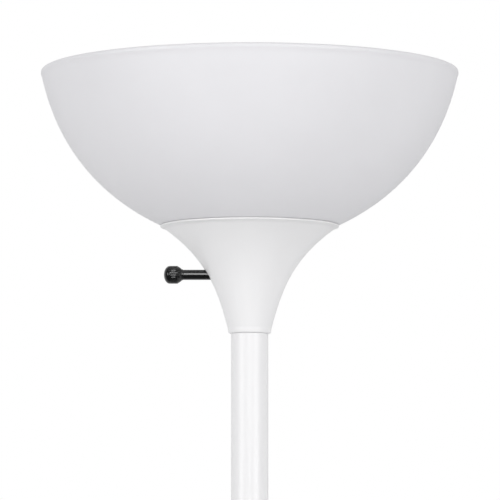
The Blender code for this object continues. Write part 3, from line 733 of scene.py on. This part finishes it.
class FLOORLAMP_OT_neck(bpy.types.Operator):
    """Make the spun flared neck with its upright lip, foot band and shank hole"""

    bl_idname = "floor_lamp.neck"
    bl_label = "Flared neck"

    def flare_radius(self, height, full_height):
        """Outer radius at a height: a straight taper that a steep flare joins near the top."""
        share = height / full_height
        foot, taper, flare, power = 13.8, 19.5, 27.1, 3.22
        return foot + taper * share + flare * share**power

    def execute(self, context):
        sizes = context.scene.lamp_sizes
        rim, height = sizes.neck_rim_radius, sizes.neck_height
        skin, bead, flare_drop = 1.0, 0.65, 2.4
        band_top, band_step, foot_round, rows = 3.2, 0.12, 1.3, 56
        flare_top = height - flare_drop
        lip = arc(rim - bead, height - bead, bead, 90.0, -40.0, 9)
        start = (self.flare_radius(flare_top, height), flare_top)
        lip += bezier(lip[-1], (rim - 0.55, height - 1.35), (start[0] + 0.35, flare_top + 0.24), start, 5)[1:]
        heights = [flare_top - (flare_top - band_top) * row / rows for row in range(1, rows + 1)]
        flare = [(self.flare_radius(z, height), z) for z in heights]
        band_radius = self.flare_radius(band_top, height)
        band = [(band_radius + band_step - 0.1, band_top - 0.3)]
        foot = arc(band_radius + band_step - 0.4 - foot_round, foot_round, foot_round, 0.0, -90.0, 8)
        hole = [(ROD_HOLE, 0.0)]
        inner = inner_side([(rim, height - skin / 2.0), start] + flare + foot + hole, skin)
        inner[0] = (ROD_HOLE, skin)
        inner[-1] = (rim - skin, height - skin / 2.0)
        outline = lip + flare + band + foot + hole + inner
        neck = turned_piece("flared_neck", outline, FINE_TURN, "neck_cup", "white_metal", NECK_Z)
        shank_clearance, reach, length = 4.0, 28.0, 14.0
        cut_round_hole(neck, shank_clearance, KNOB_TURN @ raised(reach), length)
        return {"FINISHED"}


# Switch


class FLOORLAMP_OT_knob(bpy.types.Operator):
    """Make the fluted switch knob and its slim shank"""

    bl_idname = "floor_lamp.knob"
    bl_label = "Switch knob"

    def execute(self, context):
        sizes = context.scene.lamp_sizes
        radius, end = sizes.knob_radius, sizes.knob_reach
        shank, collar, start = 3.4, 3.75, -high("switch_knob", 0)
        dome, barrel_start, shank_end = 3.9, end - 9.2, end - 12.6
        barrel_end = end - dome
        bore, bore_end, flute_depth, sides_per_flute, rows = 1.8, 45.0, 0.25, 8, 12
        turns = [math.radians(90.0) * row / rows for row in range(rows)]
        outline = [(radius * math.sin(turn), barrel_end + dome * math.cos(turn)) for turn in turns]
        outline += ladder(radius, barrel_end, barrel_start, 12, "flutes")
        outline += [(radius - 0.25, barrel_start - 0.3)]
        waist = (collar, shank_end + 0.5)
        outline += bezier((radius - 0.4, barrel_start - 0.5), (5.0, 47.0), (4.3, 46.0), waist, 6)
        outline += [(collar, shank_end), (shank + 0.1, shank_end - 0.2), (shank, shank_end - 0.5)]
        outline += [(shank, shank_end - 0.7), (shank, start + 1.0), (shank, start + 0.4)]
        outline += [(shank - 0.4, start), (bore, start), (bore, bore_end), (0.0, bore_end)]
        relief = {"flutes": flutes(sizes.knob_flutes, flute_depth, barrel_start - 0.2, barrel_end, 1.2)}
        sides = sizes.knob_flutes * sides_per_flute
        piece = ("turn_knob", outline, sides, "switch_knob", "black_plastic")
        turned_piece(*piece, reliefs=relief, closed=False, place=KNOB_TURN, body="switch")
        return {"FINISHED"}


# Pole


class FLOORLAMP_OT_pole(bpy.types.Operator):
    """Make the four painted tubes and the collar at the foot"""

    bl_idname = "floor_lamp.pole"
    bl_label = "Pole"

    def execute(self, context):
        radius = context.scene.lamp_sizes.pole_radius
        bore = radius - 1.0
        last, edge, crisp_edge = 4, 0.35, 0.12
        for section in range(1, last + 1):
            node = f"pole_tube_{section}"
            bottom, top, top_edge = low(node), high(node), edge
            if section == last:
                top, top_edge = top + GAP - 0.05, crisp_edge
            corners = [(radius, top, top_edge), (radius, bottom, edge), (bore, bottom), (bore, top)]
            turned_piece(f"pole_section_{section}", rounded(corners, 4), TURN, node, "white_metal")
        self.collar(radius)
        return {"FINISHED"}

    def collar(self, radius):
        bottom, top, outer = span("pole_collar")
        bore = radius + GAP
        corners = [(outer - 2.4, top, 2.0), (outer - 1.4, bottom + 3.0, 1.2), (outer, bottom + 2.4, 0.7)]
        corners += [(outer, bottom, 0.4), (bore, bottom), (bore, top, 0.3)]
        turned_piece("foot_collar", rounded(corners, 5), TURN, "pole_collar", "white_metal")


class FLOORLAMP_OT_pole_joints(bpy.types.Operator):
    """Make the screwed plugs and sockets inside the pole, with their threads"""

    bl_idname = "floor_lamp.pole_joints"
    bl_label = "Pole joints"

    def execute(self, context):
        pitch, depth, samples = 1.5, 0.55, 8
        stud, stud_length, lead_hole = 7.0, 14.0, 4.0
        bore = stud + GAP
        for joint in (1, 2, 3):
            node = f"joint_{joint}_plug"
            bottom, top, outer = span(node)
            shoulder = top - stud_length - GAP
            count = int((top - 1.0 - shoulder) / pitch * samples)
            outline = [(stud - 0.9, top)]
            outline += ladder(stud, top - 0.9, shoulder + 0.2, count, "thread")
            body = [(stud - 0.5, shoulder), (outer, shoulder, 0.4), (outer, bottom, 0.8)]
            outline += rounded(body + [(lead_hole, bottom), (lead_hole, top)], 3)
            relief = {"thread": thread(pitch, depth, shoulder, top)}
            turned_piece(f"pole_plug_{joint}", outline, SMALL_TURN, node, "zinc_steel", reliefs=relief)
            node = f"joint_{joint}_socket"
            bottom, top, outer = span(node)
            count = int((top - bottom - 1.6) / pitch * samples)
            outline = [(outer - 0.8, top), (outer, top - 0.8), (outer, bottom + 0.4), (outer - 0.4, bottom)]
            outline += [(bore + 0.6, bottom)] + ladder(bore, bottom + 0.8, top - 0.8, count, "thread")
            outline += [(bore + 0.6, top)]
            relief = {"thread": thread(pitch, -depth, bottom, top)}
            turned_piece(f"pole_socket_{joint}", outline, SMALL_TURN, node, "zinc_steel", reliefs=relief)
        return {"FINISHED"}


# Base


def gland_place(base_radius):
    """Where the gland sits in the base's rim, its Z axis pointing out of the back."""
    height = (low("cord_gland") + high("cord_gland")) / 2.0
    place = Matrix.Translation((0.0, base_radius * MM, height * MM))
    return place @ Matrix.Rotation(math.radians(-90.0), 4, "X")


class FLOORLAMP_OT_base(bpy.types.Operator):
    """Make the base cover, foam pad and cord gland"""

    bl_idname = "floor_lamp.base"
    bl_label = "Base"

    def execute(self, context):
        sizes = context.scene.lamp_sizes
        self.cover(sizes.base_radius, sizes.base_height)
        self.pad()
        self.gland(sizes.base_radius)
        return {"FINISHED"}

    def cover(self, radius, top):
        bottom, skin, gland_hole, hole_depth = low("base_cover"), 1.0, 4.2, 4.0
        dome_end = (116.0, top - 5.6)
        dome = bezier((26.0, top), (62.0, top), (92.0, top - 1.4), dome_end, 28)
        shoulder = rounded([dome_end, (radius, top - 7.6, 7.0), (radius, bottom + 0.6)], 12)[1:]
        outer = [(ROD_HOLE, top), (14.0, top)] + dome + shoulder
        inner = inner_side(outer, skin)
        inner[-1] = (ROD_HOLE, top - skin)
        hem = arc(radius - skin / 2.0, bottom + 0.6, skin / 2.0 + 0.05, 0.0, -180.0, 6)
        cover = turned_piece("base_shell", outer + hem + inner, FINE_TURN, "base_cover", "white_metal")
        cut_round_hole(cover, gland_hole, gland_place(radius), hole_depth)

    def pad(self):
        outer, top = high("base_pad", 0), high("base_pad")
        inner = 24.0
        outline = rounded([(outer, top, 0.3), (outer, 0.0, 0.5), (inner, 0.0, 0.5), (inner, top, 0.3)], 4)
        turned_piece("floor_pad", outline, FINE_TURN, "base_pad", "foam_pad")

    def gland(self, radius):
        flange, body, bore, outer_end, inner_end = 5.0, 3.8, 2.6, 2.0, -3.2
        corners = [(flange - 0.8, outer_end, 0.5), (flange, 1.2, 0.5), (flange, GAP, 0.2), (body, GAP)]
        corners += [(body, -1.4), (body + 0.2, -1.8, 0.2), (body - 0.3, inner_end, 0.3)]
        corners += [(bore, inner_end, 0.2), (bore, 1.4), (bore + 0.5, outer_end)]
        piece = ("rear_gland", rounded(corners, 3), SMALL_TURN, "cord_gland", "rubber")
        turned_piece(*piece, place=gland_place(radius))


# Fixings


def threaded_rod(name, node, pitch=1.0):
    """A hollow rod with a thread along its whole length."""
    bottom, top, radius = span(node)
    bore, depth, samples, lead_in = 3.8, 0.5, 6, 0.6
    count = int((top - bottom) / pitch * samples)
    outline = [(radius - lead_in, top)]
    outline += ladder(radius, top - lead_in, bottom + lead_in, count, "thread")
    outline += [(radius - lead_in, bottom), (bore, bottom), (bore, top)]
    relief = {"thread": thread(pitch, depth, bottom, top)}
    turned_piece(name, outline, SMALL_TURN, node, "zinc_steel", reliefs=relief)


def hex_nut(name, node, across_flats):
    """A six-sided nut, its corners taken down by a cone at both ends."""
    bottom, top = low(node), high(node)
    bore, chamfer, sides, rows = ROD_HOLE, 1.4, 72, 12
    apothem, middle, half = across_flats / 2.0, (top + bottom) / 2.0, (top - bottom) / 2.0

    def six_sided(z, angle):
        within = (angle + math.radians(30.0)) % math.radians(60.0) - math.radians(30.0)
        hexagon = apothem / math.cos(within)
        cone = apothem - 0.2 + (half - abs(z - middle)) * chamfer
        return min(hexagon, cone) - apothem

    outline = ladder(apothem, top, bottom, rows, "six_sided")
    outline += [(bore + 0.5, bottom), (bore, bottom + 0.5), (bore, top - 0.5), (bore + 0.5, top)]
    mesh = lathe_mesh(name, outline, sides, {"six_sided": six_sided}, sharp=22.0)
    add_piece(name, mesh, "lamp", [node], "zinc_steel")


class FLOORLAMP_OT_fixings(bpy.types.Operator):
    """Make the hollow rods, nuts and washers that hold the base, pole and neck together"""

    bl_idname = "floor_lamp.fixings"
    bl_label = "Rods, nuts and washers"

    def execute(self, context):
        threaded_rod("base_threaded_rod", "base_rod")
        threaded_rod("neck_threaded_nipple", "neck_nipple")
        hex_nut("base_hex_nut", "base_nut", 17.0)
        hex_nut("neck_hex_nut", "neck_nut", 14.0)
        self.plain_washer()
        self.toothed_washer()
        self.bush("foot_screw_bush", "foot_bush")
        self.bush("head_screw_bush", "head_bush")
        return {"FINISHED"}

    def plain_washer(self):
        bottom, top, outer = span("base_washer")
        corners = [(outer, top, 0.4), (outer, bottom, 0.15), (ROD_HOLE, bottom), (ROD_HOLE, top, 0.3)]
        turned_piece("base_flat_washer", rounded(corners, 3), TURN, "base_washer", "zinc_steel")

    def toothed_washer(self):
        bottom, top, outer = span("neck_washer")
        outline = [(outer, top, "teeth"), (outer, bottom, "teeth"), (ROD_HOLE, bottom), (ROD_HOLE, top)]
        relief = {"teeth": notches(count=12, depth=1.3, share=0.5)}
        turned_piece("neck_lock_washer", outline, TURN, "neck_washer", "zinc_steel", reliefs=relief)

    def bush(self, name, node):
        bottom, top, outer = span(node)
        groove, groove_depth, mouth = (bottom + top) / 2.0, 0.5, 5.8
        corners = [(outer, top, 0.6), (outer, groove + 1.5), (outer - groove_depth, groove + 1.0)]
        corners += [(outer - groove_depth, groove - 1.0), (outer, groove - 1.5), (outer, bottom, 0.6)]
        corners += [(mouth, bottom), (ROD_HOLE, bottom + 0.6), (ROD_HOLE, top - 0.6), (mouth, top)]
        turned_piece(name, rounded(corners, 3), SMALL_TURN, node, "zinc_steel")


# Lamp holder


class FLOORLAMP_OT_holder(bpy.types.Operator):
    """Make the lamp holder's skirt, threaded shell, cap, insulator and shade ring"""

    bl_idname = "floor_lamp.holder"
    bl_label = "Lamp holder"

    def execute(self, context):
        self.skirt()
        self.shell()
        self.cap()
        self.insulator()
        self.ring(context.scene.lamp_sizes.ring_grips)
        return {"FINISHED"}

    def skirt(self):
        bottom, top, shoulder_radius = span("socket_skirt", NECK_Z)
        outer, bore, mouth = 19.4, 16.7, 14.8
        shoulder_top, shoulder_height = low("shade_bowl") - NECK_Z - GAP, 3.0
        pitch, depth, samples = 2.0, 0.7, 10
        count = int((top - 1.0 - shoulder_top) / pitch * samples)
        outline = arc(outer - 1.0, top - 1.0, 1.0, 90.0, 20.0, 5)
        outline += ladder(outer, top - 1.2, shoulder_top + 0.3, count, "thread")
        shoulder_bottom = shoulder_top - shoulder_height
        corners = [(outer - 0.6, shoulder_top), (shoulder_radius, shoulder_top, 0.4)]
        corners += [(shoulder_radius, shoulder_bottom, 0.4), (outer, shoulder_bottom, 0.6)]
        corners += [(outer, bottom, 0.5), (bore, bottom), (bore, top - 3.0), (mouth, top - 3.0, 0.3)]
        corners += [(mouth, top - 0.8), (mouth + 0.8, top)]
        outline += rounded(corners, 4)
        relief = {"thread": thread(pitch, depth, shoulder_top, top - 0.6)}
        piece = ("holder_skirt", outline, TURN, "socket_skirt", "phenolic")
        turned_piece(*piece, rise=NECK_Z, reliefs=relief)

    def shell(self):
        bottom, top, outer = span("screw_shell", NECK_Z)
        wall, foot = 0.5, 10.5
        count = int((top - bottom) / CAP_PITCH * CAP_SAMPLES)
        outline = [(outer, top)] + ladder(outer, top - 0.5, bottom + 2.0, count, "thread")
        outline += [(outer, bottom + 0.6), (outer - 0.6, bottom), (foot, bottom), (foot, bottom + wall)]
        outline += [(outer - 0.9, bottom + wall), (outer - wall, bottom + 1.2)]
        outline += ladder(outer - wall, bottom + 2.0, top - 0.5, count, "thread")
        outline += [(outer - wall, top)]
        relief = {"thread": thread(CAP_PITCH, CAP_DEPTH, bottom + 1.0, top + 1.0, round_profile=True)}
        turned_piece("threaded_shell", outline, TURN, "screw_shell", "brass", NECK_Z, relief)

    def cap(self):
        radius, top = high("holder_cap", 0), high("holder_cap") - NECK_Z
        wall, boss, boss_bottom, boss_top = 1.6, 8.0, 8.2, 14.0
        corners = [(radius, top, 0.3), (radius, 20.0, 4.0), (boss + 1.0, boss_top - 2.0, 1.5)]
        corners += [(boss, boss_bottom, 0.6), (ROD_HOLE, boss_bottom), (ROD_HOLE, boss_top), (boss, boss_top)]
        corners += [(radius - wall, 22.0, 3.0), (radius - wall, top, 0.3)]
        turned_piece("holder_dome", rounded(corners, 5), TURN, "holder_cap", "phenolic", NECK_Z)

    def insulator(self):
        node, hole = "socket_insulator", 2.6
        bottom, top, outer = span(node, NECK_Z)
        corners = [(outer, top, 0.3), (outer, bottom, 0.3), (hole, bottom, 0.2), (hole, top, 0.2)]
        turned_piece("holder_insulator", rounded(corners, 3), TURN, node, "phenolic", NECK_Z)

    def ring(self, grips):
        bottom, top, flange = span("shade_ring", NECK_Z)
        bore, sleeve, flange_height, sides_per_grip = 19.7, 22.5, 2.4, 12
        flange_top = bottom + flange_height
        outline = arc(sleeve - 0.8, top - 0.8, 0.8, 90.0, 0.0, 5)
        outline += [(sleeve, flange_top + 0.6), (sleeve + 0.5, flange_top)]
        outline += [(flange - 0.6, flange_top, "grips"), (flange - 0.15, flange_top - 0.2, "grips")]
        outline += ladder(flange, flange_top - 0.6, bottom + 0.4, 4, "grips")
        outline += [(flange - 0.4, bottom, "grips"), (bore, bottom), (bore, top - 0.4), (bore + 0.4, top)]
        relief = {"grips": notches(grips, depth=0.9, share=0.55)}
        sides = grips * sides_per_grip
        turned_piece("shade_ring_nut", outline, sides, "shade_ring", "phenolic", NECK_Z, relief)


# Bulb


# Rounded thread that the bulb's cap and the holder's shell share
CAP_PITCH = 3.63
CAP_DEPTH = 0.55
CAP_SAMPLES = 12


class FLOORLAMP_OT_bulb(bpy.types.Operator):
    """Make the screw-in bulb: tip, bead, threaded cap, ribbed housing and frosted dome"""

    bl_idname = "floor_lamp.bulb"
    bl_label = "Bulb"

    def execute(self, context):
        self.tip()
        self.bead()
        self.cap()
        self.housing()
        self.dome()
        return {"FINISHED"}

    def tip(self):
        top = high("bulb_tip") - SEAT_Z
        outline = [(0.0, top), (2.8, top), (2.8, 1.2), (2.5, 0.7), (1.9, 0.3), (1.0, 0.06), (0.0, 0.0)]
        piece = ("bulb_contact", outline, SMALL_TURN, "bulb_tip", "nickel", SEAT_Z)
        turned_piece(*piece, closed=False, body="bulb")

    def bead(self):
        outline = [(9.0, 3.4), (9.0, 2.7), (8.2, 2.1), (6.8, 1.5)]
        outline += [(5.0, 1.1), (3.6, 1.0), (3.2, 1.2), (3.2, 3.4)]
        turned_piece("bulb_bead", outline, SMALL_TURN, "bulb_cap_insulator", "cap_bead", SEAT_Z, body="bulb")

    def cap(self):
        radius, top = high("bulb_cap", 0), high("bulb_cap") - SEAT_Z
        wall, shoulder, bottom, thread_bottom = 0.5, 10.0, 2.8, 6.0
        count = int((top - 2.0 - thread_bottom) / CAP_PITCH * CAP_SAMPLES)
        outline = [(radius, top), (radius, top - 1.2)]
        outline += ladder(radius, top - 1.6, thread_bottom, count, "thread")
        outline += [(radius - 0.3, 5.0), (radius - 1.2, 3.8), (shoulder, bottom), (shoulder - wall, bottom)]
        outline += [(radius - 1.8, 4.2), (radius - wall - 0.3, 5.3)]
        outline += ladder(radius - wall, thread_bottom, top - 1.6, count, "thread")
        outline += [(radius - wall, top)]
        relief = {"thread": thread(CAP_PITCH, CAP_DEPTH, thread_bottom - 2.0, top, round_profile=True)}
        turned_piece("bulb_threaded_cap", outline, TURN, "bulb_cap", "nickel", SEAT_Z, relief, body="bulb")

    def housing(self):
        bottom, top, seat = span("bulb_body", SEAT_Z)
        neck, ribs, rib_depth, sides_per_rib = 13.6, 32, 0.3, 8
        outer = [(seat, top), (seat, top - 1.2), (seat - 0.25, top - 1.5), (seat, top - 1.8)]
        curve = bezier((seat, top - 2.4), (seat - 0.6, top - 8.0), (neck + 2.0, 40.0), (neck, 32.0), 24)
        outer += [(r, z, "ribs") for r, z in curve]
        outer += [(neck, bottom + 0.5), (neck - 0.5, bottom)]
        inner = [(12.0, bottom), (12.0, 32.5), (seat - 2.0, 57.5), (seat - 2.0, top)]
        relief = {"ribs": flutes(ribs, rib_depth, 33.0, top - 4.0, 5.0)}
        sides = ribs * sides_per_rib
        piece = ("bulb_housing", outer + inner, sides, "bulb_body", "white_moulding", SEAT_Z, relief)
        turned_piece(*piece, body="bulb")

    def dome(self):
        length, radius, wall = high("bulb_diffuser") - SEAT_Z, 30.0, 1.2
        foot = low("bulb_diffuser") - SEAT_Z
        centre = length - radius
        end = -math.degrees(math.asin((centre - foot) / radius))
        outer = arc(0.0, centre, radius, 90.0, end, 40)
        outer[0] = (0.0, length)
        inner = arc(0.0, centre, radius - wall, end, 90.0, 40)
        inner[-1] = (0.0, length - wall)
        outline = outer + [(outer[-1][0] - wall, foot)] + [p for p in inner if p[1] > foot + 0.3]
        piece = ("bulb_dome", outline, TURN, "bulb_diffuser", "bulb_diffuser", SEAT_Z)
        turned_piece(*piece, closed=False, body="bulb")


# CAD nodes whose shape stays


KEPT_NODES = (
    "base_weight", "switch_body", "switch_contact", "switch_rotor", "switch_spindle", "centre_contact",
    "terminal_screw_live", "terminal_screw_neutral", "bulb_board", "inner_lead", "wire_live", "wire_neutral",
)

class FLOORLAMP_OT_kept_nodes(bpy.types.Operator):
    """Give every CAD node that keeps its shape its finish from the record"""

    bl_idname = "floor_lamp.kept_nodes"
    bl_label = "Inner pieces"

    def execute(self, context):
        slots = {entry["node"]: entry["material_slot"] for entry in frame["record"]["subparts"]}
        for name in KEPT_NODES:
            materials = frame["nodes"][name].data.materials
            materials.clear()
            materials.append(finish_of(slots[name]))
        return {"FINISHED"}


# Stage


class FLOORLAMP_OT_stage(bpy.types.Operator):
    """Set up the pale floor, soft lights, white surroundings and camera"""

    bl_idname = "floor_lamp.stage"
    bl_label = "Stage"

    def execute(self, context):
        studio = context.scene.lamp_studio
        self.surroundings(context.scene, studio)
        self.floor()
        self.lights(studio)
        self.camera(context.scene, studio)
        context.scene.view_settings.view_transform = "Standard"
        return {"FINISHED"}

    def surroundings(self, scene, studio):
        """White to the eye, brighter behind the lamp than above it, and dark in front in reflections."""
        world = bpy.data.worlds.new("white_studio")
        world.use_nodes = True
        tree = world.node_tree
        mirrored_loss = 0.85
        seen = tree.nodes["Background"]
        seen.inputs["Color"].default_value = (1.0, 1.0, 1.0, 1.0)
        seen.inputs["Strength"].default_value = 1.0
        direction = axes(tree, tree.nodes.new("ShaderNodeTexCoord").outputs["Generated"])
        ray = tree.nodes.new("ShaderNodeLightPath").outputs
        loss = -mirrored_loss * studio.room
        room = math_node(tree, "MULTIPLY_ADD", ray["Is Glossy Ray"], loss, studio.room)
        sides = map_range(tree, direction["Y"], -0.1, 0.5, room, studio.backdrop)
        strength = map_range(tree, direction["Z"], 0.35, 0.9, sides, studio.zenith)
        lighting = add_node(tree, "ShaderNodeBackground", Color=(0.99, 0.995, 1.0, 1.0), Strength=strength)
        mix = add_node(tree, "ShaderNodeMixShader", Fac=ray["Is Camera Ray"])
        feed(tree, lighting.outputs[0], mix.inputs[1])
        feed(tree, seen.outputs[0], mix.inputs[2])
        feed(tree, mix.outputs[0], tree.nodes["World Output"].inputs["Surface"])
        scene.world = world

    def floor(self):
        """A pale round floor that fades out, a little below the pad and unseen in reflections."""
        radius, drop, dark, pale = 7.0, 0.0006, (0.9, 0.9, 0.9), (0.93, 0.93, 0.93)
        mesh = bpy.data.meshes.new("floor")
        angles = [2.0 * math.pi * side / FINE_TURN for side in range(FINE_TURN)]
        corners = [(radius * math.cos(angle), radius * math.sin(angle), -drop) for angle in angles]
        mesh.from_pydata(corners, [], [tuple(range(FINE_TURN))])
        floor = add_object("floor", mesh)
        finish = Finish("pale_floor")
        grain = finish.grain(240.0, 0.55, 0.7)
        distance = add_node(finish.tree, "ShaderNodeVectorMath", Vector=finish.vector)
        distance.operation = "LENGTH"
        fade = finish.level(distance.outputs["Value"], 2.0, 6.6, 1.0, 0.0)
        mottled = finish.blend(grain["Flow"], dark, pale)
        finish.feed(Base_Color=mottled, Roughness=grain["Roughness"], Alpha=fade)
        mesh.materials.append(finish.material)
        floor.visible_glossy = False

    def lights(self, studio):
        lit_height = 1.5
        soft_boxes = (
            ("front", (-0.06, -3.1, 2.5), studio.front, 0.3, 2.0),
            ("key_left", (-2.9, -2.2, 2.1), studio.key_left, 1.6, 1.6),
            ("key_right", (2.5, -2.8, 2.1), studio.key_right, 1.6, 1.6),
            ("back_left", (-1.4, 2.2, 4.2), studio.back, 1.8, 1.8),
            ("back_right", (1.4, 2.2, 4.2), studio.back, 1.8, 1.8),
        )
        for name, place, power, width, height in soft_boxes:
            lamp = bpy.data.lights.new(name, "AREA")
            lamp.shape = "RECTANGLE"
            lamp.size = width
            lamp.size_y = height
            lamp.energy = power
            obj = bpy.data.objects.new(name, lamp)
            obj.location = place
            aim = Vector((0.0, 0.0, lit_height)) - Vector(place)
            obj.rotation_euler = aim.to_track_quat("-Z", "Y").to_euler()
            obj.visible_camera = False
            bpy.context.scene.collection.objects.link(obj)

    def camera(self, scene, studio):
        data = bpy.data.cameras.new("front")
        data.sensor_width = 36.0
        data.lens = studio.lens
        data.clip_end = 60.0
        camera = bpy.data.objects.new("front", data)
        foot = NECK_Z * MM
        camera.location = (studio.side, -studio.distance, foot - studio.drop)
        aim = Vector((studio.side, 0.0, foot + studio.aim)) - camera.location
        camera.rotation_euler = aim.to_track_quat("-Z", "Y").to_euler()
        scene.collection.objects.link(camera)
        scene.camera = camera


# Sidebar and registration


STEPS = (
    FLOORLAMP_OT_stage,
    FLOORLAMP_OT_bowl,
    FLOORLAMP_OT_neck,
    FLOORLAMP_OT_knob,
    FLOORLAMP_OT_holder,
    FLOORLAMP_OT_bulb,
    FLOORLAMP_OT_pole,
    FLOORLAMP_OT_pole_joints,
    FLOORLAMP_OT_base,
    FLOORLAMP_OT_fixings,
    FLOORLAMP_OT_kept_nodes,
)


class FLOORLAMP_PT_sidebar(bpy.types.Panel):
    """Lists the lamp's sizes, colours and steps"""

    bl_label = "Floor Lamp"
    bl_space_type = "VIEW_3D"
    bl_region_type = "UI"
    bl_category = "Floor Lamp"

    def draw(self, context):
        layout = self.layout
        scene = context.scene
        for settings in (scene.lamp_sizes, scene.lamp_colours, scene.lamp_studio):
            box = layout.box()
            for name in settings.__annotations__:
                box.prop(settings, name)
        for step in STEPS:
            layout.operator(step.bl_idname)


GROUPS = (LampSizes, LampColours, LampStudio)


def register():
    """Register the settings, operators and panel."""
    for cls in GROUPS + STEPS + (FLOORLAMP_PT_sidebar,):
        bpy.utils.register_class(cls)
    bpy.types.Scene.lamp_sizes = PointerProperty(type=LampSizes)
    bpy.types.Scene.lamp_colours = PointerProperty(type=LampColours)
    bpy.types.Scene.lamp_studio = PointerProperty(type=LampStudio)


def unregister():
    """Remove what register added."""
    del bpy.types.Scene.lamp_studio
    del bpy.types.Scene.lamp_colours
    del bpy.types.Scene.lamp_sizes
    for cls in reversed(GROUPS + STEPS + (FLOORLAMP_PT_sidebar,)):
        bpy.utils.unregister_class(cls)


def main():
    """Build the lamp step by step."""
    register()
    for step in STEPS:
        area, name = step.bl_idname.split(".")
        getattr(getattr(bpy.ops, area), name)()


if __name__ == "__main__":
    main()
